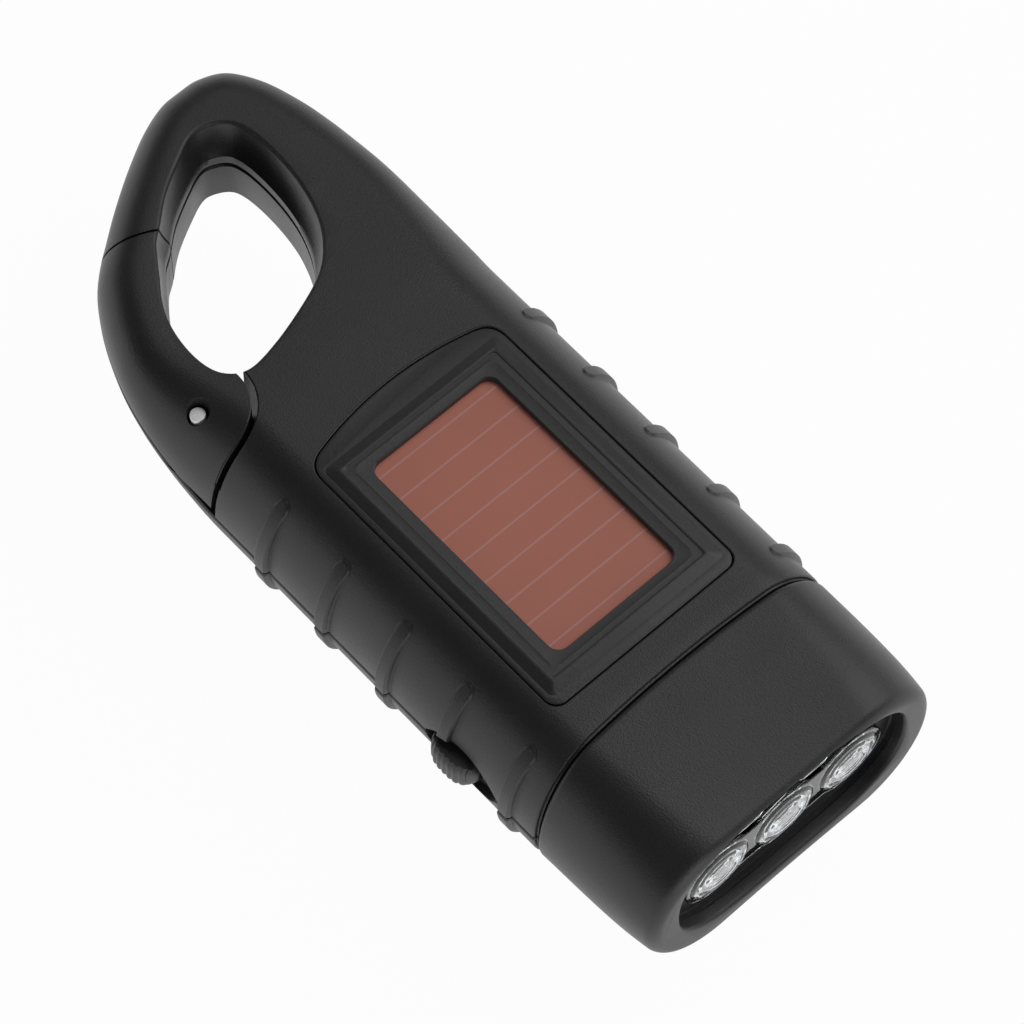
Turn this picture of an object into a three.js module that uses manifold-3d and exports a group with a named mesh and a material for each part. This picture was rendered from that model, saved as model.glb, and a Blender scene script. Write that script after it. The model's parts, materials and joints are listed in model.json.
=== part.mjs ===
import * as THREE from 'three';
import { mergeVertices } from 'three/addons/utils/BufferGeometryUtils.js';
import Module from 'manifold-3d';

const wasm = await Module();
wasm.setup();

// Hand crank flashlight with a carabiner hook.
// Millimetres. X runs to the lens, Z up to the solar cell, and Z is 0 under the crank arm.

// Body
const overallLength = 136;
const bodyHalfWidth = 26;
const bodyThickness = 27;
const upperHeight = 15;
const edgeRound = 10.5;
const wall = 2;
const seamGap = 0.3;
const fitGap = 0.3;
const joinOverlap = 0.3;
const cutOverrun = 3;
const bossWall = 1.6;

// Hook, with its lengths measured from the tail
const hookLengthShare = 0.33824;
const hookThickness = 16;
const hookUpperHeight = 8.5;
const hookEdgeRound = 6.5;
const hookTopDrop = 0.4;
const hookStepStartShare = 1.087;
const hookStepLengthShare = 0.5217;
const scoopWidth = 1.8;
const scoopDepth = 5;

// Gate
const gatePivotShare = 0.911;
const gatePivotFromSide = 4.7;
const gateHeelRadius = 7.2;
const gateHeelGroove = 0.9;
const gateHeelSweep = 100;
const gateTipGap = 0.35;
const gateTipRadiusTop = 27.9;
const gateTipRadiusMiddle = 29;
const gateTipRadiusBottom = 28.6;
const gatePinRadius = 1.1;
const gatePinHoleRadius = 1.5;
const gatePinSink = 0.5;
const springWire = 0.7;
const springCoilRadius = 2.5;
const springHeight = 3;
const springPocketRadius = 3.4;

// Grip ribs
const ribSpacingShare = 0.089;
const ribWidth = 2.2;
const ribHeight = 0.8;
const ribTopFromSide = 4.9;
const ribFirstShare = 0.43162;

// Head
const headLength = 24.1;
const headSeamGap = 0.6;
const headSeamBow = 1.7;
const headWall = 2;
const collarLength = 4.5;
const headTaper = 1;
const headFaceTopDrop = 1.4;
const headFaceBottomRise = 0.6;
const headEdgeRound = 12.6;
const headFaceRounding = 1.6;
const headWaist = 0.6;
const headRimWidth = 4.8;
const headOpeningHalfHeight = 10.2;
const headOpeningAboveLight = 0.4;
const headOpeningDepth = 3.4;
const headWebThickness = 1.4;
const cupWindowGap = 0.4;

// Solar bezel and cell
const bezelFromSeam = 5;
const bezelLengthShare = 0.3725;
const bezelFromSide = 9.75;
const bezelRearBulge = 1.8;
const bezelRearCorner = 2.8;
const bezelFrontCorner = 2;
const bezelThickness = 2.6;
const bezelLedgeWidth = 1.6;
const bezelLedgeThickness = 1.4;
const bezelRise = 0.9;
const ridgeMargin = 8.5;
const ridgeFromBezelSide = 2.2;
const ridgeSlope = 1;
const windowMargin = 13.8;
const windowFromBezelSide = 5.5;
const windowCorner = 1.8;
const windowFromBezelFront = 5.55;
const cellRecess = 0.6;
const cellThickness = 1.1;
const cellLip = 1.1;

// Light
const cupPitchShare = 0.5743;
const cupRadiusShare = 0.2649;
const cupFrontFromFace = 3.2;
const cupDepth = 6;
const cupBackRadius = 2.9;
const cupShell = 0.6;
const lightAxisBelowTop = 13.4;
const lensThickness = 0.7;
const reflectorFlangeThickness = 1.2;
const reflectorFlangeMargin = 1;
const reflectorPostRadius = 1.9;
const ledRadius = 2.5;
const ledFlangeRadius = 2.9;
const ledFlangeThickness = 1;
const ledLength = 8;
const boardThickness = 1.2;
const ledBoardHalfHeight = 6;
const boardScrewRadius = 0.9;
const boardScrewHeadRadius = 1.7;
const boardScrewHeadHeight = 1.1;
const boardScrewLength = 5;

// Battery
const batteryRadius = 6.8;
const batteryLength = 18;
const batteryFromFace = 21;
const batteryBelowLight = 1.2;
const batteryGroove = 0.5;
const cradleThickness = 1.6;
const cradleSpacing = 11;
const cradleReach = 9;

// Main board and switch
const mainBoardLengthShare = 0.136765;
const mainBoardFromSide = 6;
const mainBoardFromSeam = 7;
const mainBoardAboveSeam = 3;
const mainBoardBossFromSide = 13.2;
const mainBoardBossFromEdge = 2.6;
const mainBoardBossRadius = 2.6;
const switchLength = 9;
const switchWidth = 4;
const switchHeight = 3.4;
const switchLeverWidth = 1.3;
const switchTravel = 2.8;
const buttonLength = 8.7;
const buttonHalfHeight = 2.6;
const buttonCorner = 2;
const buttonProud = 2;
const buttonFromFace = 38.1;
const buttonRibCount = 6;
const buttonRibDepth = 0.35;
const buttonScoopDepth = 1.6;
const slotLength = 14;
const slotHalfHeight = 4.1;
const slotFloorThickness = 1.6;
const neckLength = 3;
const neckHalfHeight = 0.8;
const retainerThickness = 0.8;
const capacitorRadiusShare = 0.1667;
const capacitorHeight = 6;
const inductorSizeShare = 0.2957;
const inductorHeight = 2.6;
const chipLength = 5;
const chipWidth = 4;
const chipHeight = 1.5;
const rectifierSize = 4.6;
const rectifierHeight = 2.4;

// Crank, knob and gears
const armThickness = 8;
const armBackGap = 0.6;
const crankFromFaceShare = 0.382353;
const hubRadius = 13;
const armHalfWidth = 7.6;
const armLengthShare = 0.319853;
const armChamfer = 0.8;
const hexRadius = 3.4;
const socketDepth = 5;
const crankScrewRadius = 1.3;
const crankScrewHeadRadius = 3;
const crankScrewHeadHeight = 1.6;
const crankScrewLength = 9;
const hubRecessRadius = 4;
const hubRecessDepth = 2;
const shaftRadius = 3.4;
const bushingWall = 1.1;
const bushingFlange = 1;
const knobRadius = 3.8;
const knobLength = 15;
const knobPostRadius = 1.7;
const knobEyeRadius = 3.3;
const knobEyeHalfWidth = 3.9;
const knobCollarGap = 0.5;
const knobCapRadius = 2.7;
const knobCapThickness = 1;
const knobSlotGap = 0.7;
const knobPinRadius = 1.1;
const knobGrooveCount = 4;
const knobGrooveDepth = 0.3;
const gearModuleShare = 0.0051471;
const crankTeeth = 40;
const pinionTeeth = 10;
const idlerTeeth = 34;
const rotorBearingDegrees = 122;
const toothThicknessShare = 0.38;
const addendumShare = 0.8;
const dedendumShare = 1.12;
const pressureAngle = 20;
const gearWidth = 2.6;
const gearFloorGap = 1;
const gearLevelGap = 0.5;
const idlerShaftRadius = 1;
const rotorShaftRadius = 1;
const runningGap = 0.3;
const gearPlateThickness = 1.4;
const gearPlateMargin = 3.4;
const gearPlateGap = 0.5;
const plateBossRadius = 2.4;
const plateBossGap = 0.6;
const rearBossBearing = 212;
const frontBossBearing = -45;
const sideBossBearing = 75;
const magnetRadiusShare = 0.4091;
const magnetHeight = 6;
const windingInnerShare = 0.4481;
const windingOuterShare = 0.5649;
const statorOuterShare = 0.6169;
const statorHeight = 7;

// Screws through the shells
const shellScrewRadius = 1.1;
const shellScrewHeadRadius = 2.4;
const shellScrewHeadHeight = 1.6;
const shellScrewSink = 1.2;
const shellScrewReach = 15;
const shellBossRadius = 3.3;

// Leads
const leadRadius = 0.55;
const leadGap = 0.3;
const leadSteps = 10;

// Shares of the hook's length from the tail, and of the body's half width
const rightSideShares = [
  [1.3, 1], [1, 1], [0.737, 0.96], [0.511, 0.929], [0.396, 0.908],
  [0.285, 0.874], [0.146, 0.797], [0.046, 0.675], [0.004, 0.513], [0, 0.392],
];
const leftSideShares = [
  [0.003, 0.278], [0.033, 0.12], [0.097, -0.086], [0.185, -0.32], [0.255, -0.483],
  [0.3, -0.585], [0.358, -0.689], [0.452, -0.8], [0.554, -0.888], [0.656, -0.953],
  [0.76, -0.988], [0.867, -1], [1, -1], [1.3, -1],
];
const openingShares = [
  [0.197, 0.235], [0.212, 0.355], [0.248, 0.428], [0.301, 0.462], [0.403, 0.474],
  [0.519, 0.456], [0.623, 0.41], [0.701, 0.347], [0.763, 0.262], [0.8, 0.187],
  [0.826, 0.108], [0.86, -0.04], [0.899, -0.26], [0.917, -0.442], [0.91, -0.512],
  [0.892, -0.56], [0.864, -0.599], [0.828, -0.622], [0.77, -0.632], [0.696, -0.62],
  [0.631, -0.59], [0.571, -0.54], [0.504, -0.457], [0.447, -0.387], [0.405, -0.33],
  [0.374, -0.262], [0.3, -0.108], [0.239, 0.07],
];
const gateVoidShares = [[0.84, -0.45], [0.52, 0.1], [0.1, 0.1], [-0.2, -0.4], [-0.2, -1.4]];

// Counts
const quarterSteps = 5;
const hookStations = 18;
const openingPointCount = 48;
const outlineSamples = 500;
const screwSides = 8;
const smallSides = 12;
const roundSides = 18;
const wideSides = 32;

// Sizes and places worked out from the sizes above
const hookLength = hookLengthShare * overallLength;
const hookStepStart = hookStepStartShare * hookLength;
const hookStepLength = hookStepLengthShare * hookLength;
const cavityRear = hookLength + wall;
const ribSpacing = ribSpacingShare * overallLength;
const ribFirstFromTail = ribFirstShare * overallLength;
const ribInnerY = bodyHalfWidth - ribTopFromSide;
const headFaceHalfWidth = bodyHalfWidth - headTaper;
const headOpeningHalfWidth = headFaceHalfWidth - headRimWidth;
const cupPitch = cupPitchShare * headOpeningHalfWidth;
const cupRadius = cupRadiusShare * headOpeningHalfWidth;
const bezelLength = bezelLengthShare * overallLength;
const bezelHalfWidth = bodyHalfWidth - bezelFromSide;
const ridgeLength = bezelLength - ridgeMargin;
const ridgeHalfWidth = bezelHalfWidth - ridgeFromBezelSide;
const windowLength = bezelLength - windowMargin;
const windowHalfWidth = bezelHalfWidth - windowFromBezelSide;
const mainBoardWidth = 2 * (bodyHalfWidth - mainBoardFromSide);
const mainBoardLength = mainBoardLengthShare * overallLength;
const capacitorRadius = capacitorRadiusShare * mainBoardLength;
const inductorSize = inductorSizeShare * mainBoardLength;
const crankFromFace = crankFromFaceShare * overallLength;
const armLength = armLengthShare * overallLength;
const gearModule = gearModuleShare * overallLength;
const mainBoardBossY = bodyHalfWidth - mainBoardBossFromSide;
const faceX = overallLength / 2;
const tailX = -faceX;
const seamX = faceX - headLength;
const collarX = seamX + collarLength;
const backZ = armThickness + armBackGap;
const topZ = backZ + bodyThickness;
const partingZ = topZ - upperHeight;
const lowerHeight = bodyThickness - upperHeight;
const floorZ = backZ + wall;
const stepX = tailX + hookStepStart;
const pivotX = tailX + gatePivotShare * hookLength;
const gatePivotY = gatePivotFromSide - bodyHalfWidth;
const crankX = faceX - crankFromFace;
const bezelFrontX = seamX - bezelFromSeam;
const bezelRearX = bezelFrontX - bezelLength;
const bezelBottomZ = topZ - bezelThickness;
const windowFrontX = bezelFrontX - windowFromBezelFront;
const windowRearX = windowFrontX - windowLength;
const cellTopZ = topZ - cellRecess;
const lightZ = topZ - lightAxisBelowTop;
const cupFrontX = faceX - cupFrontFromFace;
const cupBackX = cupFrontX - cupDepth;
const webFrontX = faceX - headOpeningDepth;
const webBackX = webFrontX - headWebThickness;
const flangeBackX = webBackX - reflectorFlangeThickness;
const ledBackX = cupBackX - ledLength + cupDepth - ledFlangeThickness;
const batteryX = faceX - batteryFromFace;
const batteryZ = lightZ - batteryBelowLight;
const gearBottomZ = floorZ + gearFloorGap;
const gearSecondZ = gearBottomZ + gearWidth + gearLevelGap;
const plateBottomZ = gearSecondZ + gearWidth + gearPlateGap;
const plateTopZ = plateBottomZ + gearPlateThickness;
const idlerX = crankX - (crankTeeth + pinionTeeth) * gearModule / 2;
const rotorReach = (idlerTeeth + pinionTeeth) * gearModule / 2;
const magnetRadius = magnetRadiusShare * rotorReach;
const windingInner = windingInnerShare * rotorReach;
const windingOuter = windingOuterShare * rotorReach;
const statorOuter = statorOuterShare * rotorReach;
const rotorAngle = THREE.MathUtils.degToRad(rotorBearingDegrees);
const rotorX = idlerX + rotorReach * Math.cos(rotorAngle);
const rotorY = rotorReach * Math.sin(rotorAngle);
const mainBoardFrontX = seamX - mainBoardFromSeam;
const mainBoardRearX = mainBoardFrontX - mainBoardLength;
const mainBoardZ = partingZ + mainBoardAboveSeam;
const mainBoardTopZ = mainBoardZ + boardThickness;
const buttonX = faceX - buttonFromFace;
const slotX = buttonX + switchTravel / 2;
const knobPinX = crankX - armLength + knobEyeRadius;
const knobZ = armThickness / 2;

// Solids

function solidFrom(geometry) {
  const bare = geometry.clone();
  bare.deleteAttribute('normal');
  bare.deleteAttribute('uv');
  const merged = mergeVertices(bare);
  const corners = [];
  const index = merged.index.array;
  for (let i = 0; i < index.length; i += 3) {
    const [a, b, c] = [index[i], index[i + 1], index[i + 2]];
    if (a !== b && b !== c && c !== a) {
      corners.push(a, b, c);
    }
  }
  const places = merged.attributes.position.array;
  if (signedVolume(places, corners) < 0) {
    corners.reverse();
  }
  const mesh = new wasm.Mesh({
    numProp: 3,
    vertProperties: new Float32Array(places),
    triVerts: new Uint32Array(corners),
  });
  return new wasm.Manifold(mesh);
}

function signedVolume(places, corners) {
  let sum = 0;
  for (let i = 0; i < corners.length; i += 3) {
    const [a, b, c] = [0, 1, 2].map((k) => new THREE.Vector3().fromArray(places, corners[i + k] * 3));
    sum += a.dot(b.cross(c));
  }
  return sum;
}

function geometryFrom(solid) {
  const mesh = solid.getMesh();
  const geometry = new THREE.BufferGeometry();
  geometry.setAttribute('position', new THREE.BufferAttribute(new Float32Array(mesh.vertProperties), 3));
  geometry.setIndex(new THREE.BufferAttribute(new Uint32Array(mesh.triVerts), 1));
  return geometry;
}

function union(solids) {
  return solids.reduce((whole, next) => whole.add(next));
}

function box(x0, x1, y0, y1, z0, z1) {
  const geometry = new THREE.BoxGeometry(x1 - x0, y1 - y0, z1 - z0);
  geometry.translate((x0 + x1) / 2, (y0 + y1) / 2, (z0 + z1) / 2);
  return solidFrom(geometry);
}

function pillar(x, y, radius, z0, z1, sides = smallSides) {
  const geometry = new THREE.CylinderGeometry(radius, radius, z1 - z0, sides);
  geometry.rotateX(Math.PI / 2);
  geometry.translate(x, y, (z0 + z1) / 2);
  return solidFrom(geometry);
}

function rodAlongY(x, z, radius, y0, y1, sides = smallSides) {
  const geometry = new THREE.CylinderGeometry(radius, radius, y1 - y0, sides);
  geometry.translate(x, (y0 + y1) / 2, z);
  return solidFrom(geometry);
}

function rodAlongX(y, z, radius, x0, x1, sides = smallSides) {
  const geometry = new THREE.CylinderGeometry(radius, radius, x1 - x0, sides);
  geometry.rotateZ(-Math.PI / 2);
  geometry.translate((x0 + x1) / 2, y, z);
  return solidFrom(geometry);
}

// A shape drawn in X and Y, raised from z0 to z1.
function raised(shape, z0, z1, curveSegments = quarterSteps) {
  const geometry = new THREE.ExtrudeGeometry(shape, { depth: z1 - z0, bevelEnabled: false, curveSegments });
  geometry.translate(0, 0, z0);
  return solidFrom(geometry);
}

// A shape drawn in Y and Z, drawn out from x0 to x1.
function drawnAlongX(shape, x0, x1, curveSegments = quarterSteps) {
  const geometry = new THREE.ExtrudeGeometry(shape, { depth: x1 - x0, bevelEnabled: false, curveSegments });
  const turn = new THREE.Matrix4().makeBasis(
    new THREE.Vector3(0, 1, 0),
    new THREE.Vector3(0, 0, 1),
    new THREE.Vector3(1, 0, 0),
  );
  geometry.applyMatrix4(turn);
  geometry.translate(x0, 0, 0);
  return solidFrom(geometry);
}

// A shape drawn in X and Z, drawn out from y0 to y1.
function drawnAlongY(shape, y0, y1, curveSegments = quarterSteps) {
  const geometry = new THREE.ExtrudeGeometry(shape, { depth: y1 - y0, bevelEnabled: false, curveSegments });
  geometry.rotateX(Math.PI / 2);
  geometry.translate(0, y1, 0);
  return solidFrom(geometry);
}

function polygon(points) {
  return new THREE.Shape(points.map(([u, v]) => new THREE.Vector2(u, v)));
}

// A profile of radius and height, turned round an upright axis.
function turned(profile, x, y, z, sides = roundSides) {
  const geometry = new THREE.LatheGeometry(profile.map(([r, h]) => new THREE.Vector2(r, h)), sides);
  geometry.rotateX(Math.PI / 2);
  geometry.translate(x, y, z);
  return solidFrom(geometry);
}

// A profile of radius and length, turned round an axis along X.
function turnedAlongX(profile, x, y, z, sides = roundSides) {
  const geometry = new THREE.LatheGeometry(profile.map(([r, h]) => new THREE.Vector2(r, h)), sides);
  geometry.rotateZ(-Math.PI / 2);
  geometry.translate(x, y, z);
  return solidFrom(geometry);
}

// A skin over closed rings that all have the same number of points.
function skinned(rings, closeStart, closeEnd) {
  const places = [];
  const index = [];
  const count = rings[0].length;
  rings.forEach((ring) => ring.forEach((point) => places.push(point.x, point.y, point.z)));
  for (let i = 0; i + 1 < rings.length; i += 1) {
    for (let j = 0; j < count; j += 1) {
      const a = i * count + j;
      const b = i * count + (j + 1) % count;
      index.push(a, b, b + count, a, b + count, a + count);
    }
  }
  const closeWithFan = (ring, first, flip) => {
    const centre = ring.reduce((sum, point) => sum.add(point), new THREE.Vector3());
    centre.divideScalar(count);
    const hub = places.length / 3;
    places.push(centre.x, centre.y, centre.z);
    for (let j = 0; j < count; j += 1) {
      const a = first + j;
      const b = first + (j + 1) % count;
      index.push(...(flip ? [hub, b, a] : [hub, a, b]));
    }
  };
  if (closeStart) {
    closeWithFan(rings[0], 0, true);
  }
  if (closeEnd) {
    closeWithFan(rings[rings.length - 1], (rings.length - 1) * count, false);
  }
  const geometry = new THREE.BufferGeometry();
  geometry.setAttribute('position', new THREE.Float32BufferAttribute(places, 3));
  geometry.setIndex(index);
  return solidFrom(geometry);
}

// Outline of the body and hook, seen from above

function hookPoint([alongShare, acrossShare]) {
  return new THREE.Vector3(tailX + alongShare * hookLength, acrossShare * bodyHalfWidth, 0);
}

const outline = new THREE.CatmullRomCurve3(
  [...rightSideShares, ...leftSideShares].map(hookPoint), false, 'centripetal',
).getPoints(outlineSamples);

const tipIndex = outline.reduce((best, point, i) => (point.x < outline[best].x ? i : best), 0);

// The outline's point and outward direction on one side, at a place along X.
function sideAt(x, side) {
  if (x >= tailX + hookLength) {
    return { point: new THREE.Vector2(x, side * bodyHalfWidth), out: new THREE.Vector2(0, side) };
  }
  const step = side > 0 ? -1 : 1;
  let i = tipIndex;
  while (outline[i + step].x < x) {
    i += step;
  }
  const [a, b] = [outline[i], outline[i + step]];
  const share = Math.max(0, (x - a.x) / (b.x - a.x));
  const along = new THREE.Vector2(b.x - a.x, b.y - a.y).normalize();
  return {
    point: new THREE.Vector2(a.x + share * (b.x - a.x), a.y + share * (b.y - a.y)),
    out: side > 0 ? new THREE.Vector2(-along.y, along.x) : new THREE.Vector2(along.y, -along.x),
  };
}

// Heights and edge rounding at a place along X.
function profileAt(x) {
  const step = THREE.MathUtils.smoothstep(stepX - x, 0, hookStepLength);
  return {
    top: topZ - hookTopDrop * step,
    parting: THREE.MathUtils.lerp(partingZ, topZ - hookUpperHeight, step),
    bottom: THREE.MathUtils.lerp(backZ, topZ - hookThickness, step),
    edge: THREE.MathUtils.lerp(edgeRound, hookEdgeRound, step),
  };
}

// How far the head's seam bows forwards at a place across the body.
function seamBowAt(y) {
  return headSeamBow * (y / bodyHalfWidth) ** 2;
}

// Places along X where the hull has a section, from the tail to the head's seam.
function hullStations() {
  const stations = [];
  const span = stepX - outline[tipIndex].x;
  for (let i = 0; i <= hookStations; i += 1) {
    stations.push(stepX - span * Math.sin((1 - i / hookStations) * Math.PI / 2));
  }
  stations.push(seamX);
  return stations;
}

// One ring of the hull, grown outwards by the given amount.
function hullRing(x, isTip, grow) {
  const { top, parting, bottom, edge } = profileAt(x);
  const sides = [1, -1].map((side) => {
    if (isTip) {
      return { point: new THREE.Vector2(x, outline[tipIndex].y), out: new THREE.Vector2(-1, 0) };
    }
    return sideAt(x, side);
  });
  const place = ({ point, out }, k, height) => {
    const angle = Math.min(k / quarterSteps, 1) * Math.PI / 2;
    const inset = (edge + grow) * (1 - Math.cos(angle)) - grow;
    const y = point.y - inset * out.y;
    const bow = x === seamX ? seamBowAt(y) : 0;
    return new THREE.Vector3(point.x + bow - inset * out.x, y, parting + height * Math.sin(angle));
  };
  const ring = [];
  const up = top - parting + grow;
  const down = bottom - parting - grow;
  for (let k = 0; k <= quarterSteps; k += 1) {
    ring.push(place(sides[0], k, up));
  }
  for (let k = quarterSteps; k >= 0; k -= 1) {
    ring.push(place(sides[1], k, up));
  }
  for (let k = 1; k <= quarterSteps; k += 1) {
    ring.push(place(sides[1], k, down));
  }
  for (let k = quarterSteps; k >= 1; k -= 1) {
    ring.push(place(sides[0], k, down));
  }
  return ring;
}

function hull(grow) {
  const rings = hullStations().map((x, i) => hullRing(x, i === 0, grow));
  return skinned(rings, false, true);
}

// Section of the straight body, set in by the given amount.
function bodySection(inset) {
  const points = [];
  const add = (side, k, height) => {
    const angle = k / quarterSteps * Math.PI / 2;
    const y = bodyHalfWidth - inset - (edgeRound - inset) * (1 - Math.cos(angle));
    points.push([side * y, partingZ + height * Math.sin(angle)]);
  };
  for (let k = 0; k <= quarterSteps; k += 1) {
    add(1, k, upperHeight - inset);
  }
  for (let k = quarterSteps; k >= 0; k -= 1) {
    add(-1, k, upperHeight - inset);
  }
  for (let k = 1; k <= quarterSteps; k += 1) {
    add(-1, k, inset - lowerHeight);
  }
  for (let k = quarterSteps; k >= 1; k -= 1) {
    add(1, k, inset - lowerHeight);
  }
  return polygon(points);
}

// Everything above or below the parting line, which rises towards the tail.
function partingHalf(side) {
  const line = [...hullStations(), faceX].map((x) => [x, profileAt(x).parting + side * seamGap / 2]);
  line.unshift([tailX - cutOverrun, line[0][1]]);
  const far = side > 0 ? topZ + cutOverrun : -cutOverrun;
  const shape = polygon([...line, [faceX, far], [tailX - cutOverrun, far]]);
  const reach = bodyHalfWidth + cutOverrun;
  return drawnAlongY(shape, -reach, reach);
}

// The hook's opening, wider at the top where its edge is scooped.
function openingCutter() {
  const curve = new THREE.CatmullRomCurve3(openingShares.map(hookPoint), true, 'centripetal');
  const rim = curve.getSpacedPoints(openingPointCount).slice(0, openingPointCount);
  const inner = rim.map((point, i) => {
    const before = rim[(i + openingPointCount - 1) % openingPointCount];
    const after = rim[(i + 1) % openingPointCount];
    const along = after.clone().sub(before).normalize();
    const out = new THREE.Vector2(-along.y, along.x);
    const scoopShare = THREE.MathUtils.clamp(0.55 - 0.36 * out.x + 0.48 * out.y, 0.12, 1);
    const inset = scoopWidth * scoopShare;
    return new THREE.Vector3(point.x - inset * out.x, point.y - inset * out.y, 0);
  });
  const atHeight = (ring, z) => ring.map((point) => new THREE.Vector3(point.x, point.y, z));
  const rings = [
    atHeight(inner, -cutOverrun),
    atHeight(inner, topZ - hookTopDrop - scoopDepth),
    atHeight(rim, topZ - hookTopDrop),
    atHeight(rim, topZ + cutOverrun),
  ];
  return skinned(rings, true, true);
}

const opening = openingCutter();

// The solar bezel's outline, grown by the given amount.
function bezelOutline(grow) {
  const front = bezelFrontX + grow;
  const rear = bezelRearX - grow;
  const half = bezelHalfWidth + grow;
  const arcX = rear + bezelRearBulge;
  const arcY = half - bezelRearCorner;
  const cornerX = arcX + 2 * (arcX - rear) * bezelRearCorner / arcY;
  const shape = new THREE.Shape();
  shape.moveTo(front - bezelFrontCorner, -half);
  shape.absarc(front - bezelFrontCorner, bezelFrontCorner - half, bezelFrontCorner, -Math.PI / 2, 0);
  shape.absarc(front - bezelFrontCorner, half - bezelFrontCorner, bezelFrontCorner, 0, Math.PI / 2);
  shape.lineTo(cornerX + bezelRearCorner, half);
  shape.quadraticCurveTo(cornerX, half, arcX, arcY);
  shape.quadraticCurveTo(2 * rear - arcX, 0, arcX, -arcY);
  shape.quadraticCurveTo(cornerX, -half, cornerX + bezelRearCorner, -half);
  return shape;
}

function roundedRectangle(u0, u1, v0, v1, corner) {
  const shape = new THREE.Shape();
  shape.absarc(u1 - corner, v0 + corner, corner, -Math.PI / 2, 0);
  shape.absarc(u1 - corner, v1 - corner, corner, 0, Math.PI / 2);
  shape.absarc(u0 + corner, v1 - corner, corner, Math.PI / 2, Math.PI);
  shape.absarc(u0 + corner, v0 + corner, corner, Math.PI, 1.5 * Math.PI);
  return shape;
}

// Gate

// A barrel round the gate's pivot: inside it lies the gate, outside it the hook's nose.
function tipBarrel(grow) {
  const hook = profileAt(tailX);
  const middle = (hook.top + hook.bottom) / 2;
  const profile = [[0, -cutOverrun]];
  const steps = 8;
  for (let i = 0; i <= steps; i += 1) {
    const z = THREE.MathUtils.lerp(hook.bottom, hook.top, i / steps);
    const share = (z - middle) / (hook.top - middle);
    const end = share > 0 ? gateTipRadiusTop : gateTipRadiusBottom;
    const radius = gateTipRadiusMiddle - (gateTipRadiusMiddle - end) * share * share;
    if (i === 0) {
      profile.push([radius + grow, -cutOverrun]);
    }
    profile.push([radius + grow, z]);
    if (i === steps) {
      profile.push([radius + grow, topZ + cutOverrun]);
    }
  }
  profile.push([0, topZ + cutOverrun]);
  return turned(profile, pivotX, gatePivotY, 0, wideSides * 2);
}

// The gate's reach seen from above: the heel's circle, its straight flank, and the arm.
function gatePlan(grow) {
  const radius = gateHeelRadius + grow;
  const shape = new THREE.Shape();
  const outerY = -bodyHalfWidth - cutOverrun;
  shape.moveTo(pivotX + radius, outerY);
  shape.lineTo(pivotX + radius, gatePivotY);
  shape.absarc(pivotX, gatePivotY, radius, 0, THREE.MathUtils.degToRad(gateHeelSweep));
  gateVoidShares.forEach((share) => {
    const point = hookPoint(share);
    shape.lineTo(point.x, point.y);
  });
  return raised(shape, -cutOverrun, topZ + 2 * cutOverrun, quarterSteps * 2);
}

function gateSpace(grow, tipGrow) {
  return gatePlan(grow).intersect(tipBarrel(tipGrow));
}

const earZ = profileAt(pivotX).parting;

// What carries the gate from below: a round ear under the heel, and the body beside it.
function earSpace(grow) {
  const low = -2 * cutOverrun;
  const high = earZ + (grow > 0 ? 1 : -1) * seamGap / 2;
  const radius = gateHeelRadius + grow;
  const round = pillar(pivotX, gatePivotY, radius, low, high, wideSides);
  const far = gatePivotY + radius + gateHeelGroove;
  return round.add(box(pivotX, seamX, -bodyHalfWidth - cutOverrun, far, low, high));
}

function gate() {
  const body = hull(0).subtract(opening).intersect(gateSpace(0, 0));
  const pocketTopZ = earZ + springHeight + 2 * seamGap;
  const springPocket = pillar(pivotX, gatePivotY, springPocketRadius, earZ, pocketTopZ, roundSides);
  const pinHole = pillar(pivotX, gatePivotY, gatePinHoleRadius, earZ, topZ + cutOverrun, roundSides);
  return body.subtract(earSpace(gateHeelGroove)).subtract(springPocket).subtract(pinHole);
}

function gatePinTop() {
  const { point } = sideAt(pivotX, -1);
  const { top, parting, edge } = profileAt(pivotX);
  const inset = (edge - (gatePivotY - point.y)) / edge;
  return parting + (top - parting) * Math.sqrt(1 - inset * inset) - gatePinSink;
}

function gatePin() {
  const bottom = profileAt(pivotX).bottom + wall + fitGap;
  return pillar(pivotX, gatePivotY, gatePinRadius, bottom, gatePinTop(), roundSides);
}

class Helix extends THREE.Curve {
  getPoint(share, target = new THREE.Vector3()) {
    const turns = Math.floor((springHeight - springWire) / (springWire * 1.25));
    const angle = share * turns * 2 * Math.PI;
    const z = earZ + springWire / 2 + seamGap + share * (springHeight - springWire - seamGap);
    return target.set(
      pivotX + springCoilRadius * Math.cos(angle),
      gatePivotY + springCoilRadius * Math.sin(angle),
      z,
    );
  }
}

function gateSpring() {
  const section = [];
  for (let i = 0; i < 5; i += 1) {
    const angle = i / 5 * 2 * Math.PI;
    section.push([springWire / 2 * Math.cos(angle), springWire / 2 * Math.sin(angle)]);
  }
  return solidFrom(new THREE.ExtrudeGeometry(polygon(section), { steps: 24, extrudePath: new Helix() }));
}

// Shells

const shellScrewPlaces = [
  [tailX + 0.45 * hookLength, 0.68 * bodyHalfWidth],
  [tailX + 0.96 * hookLength, -0.12 * bodyHalfWidth],
  [seamX - shellBossRadius, bodyHalfWidth - 2 * wall - shellBossRadius],
  [seamX - shellBossRadius, shellBossRadius + 2 * wall - bodyHalfWidth],
];

function placeRound(x, teeth, bearing) {
  const reach = (teeth / 2 + addendumShare) * gearModule + plateBossRadius + plateBossGap;
  const angle = THREE.MathUtils.degToRad(bearing);
  return [x + reach * Math.cos(angle), reach * Math.sin(angle)];
}

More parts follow.
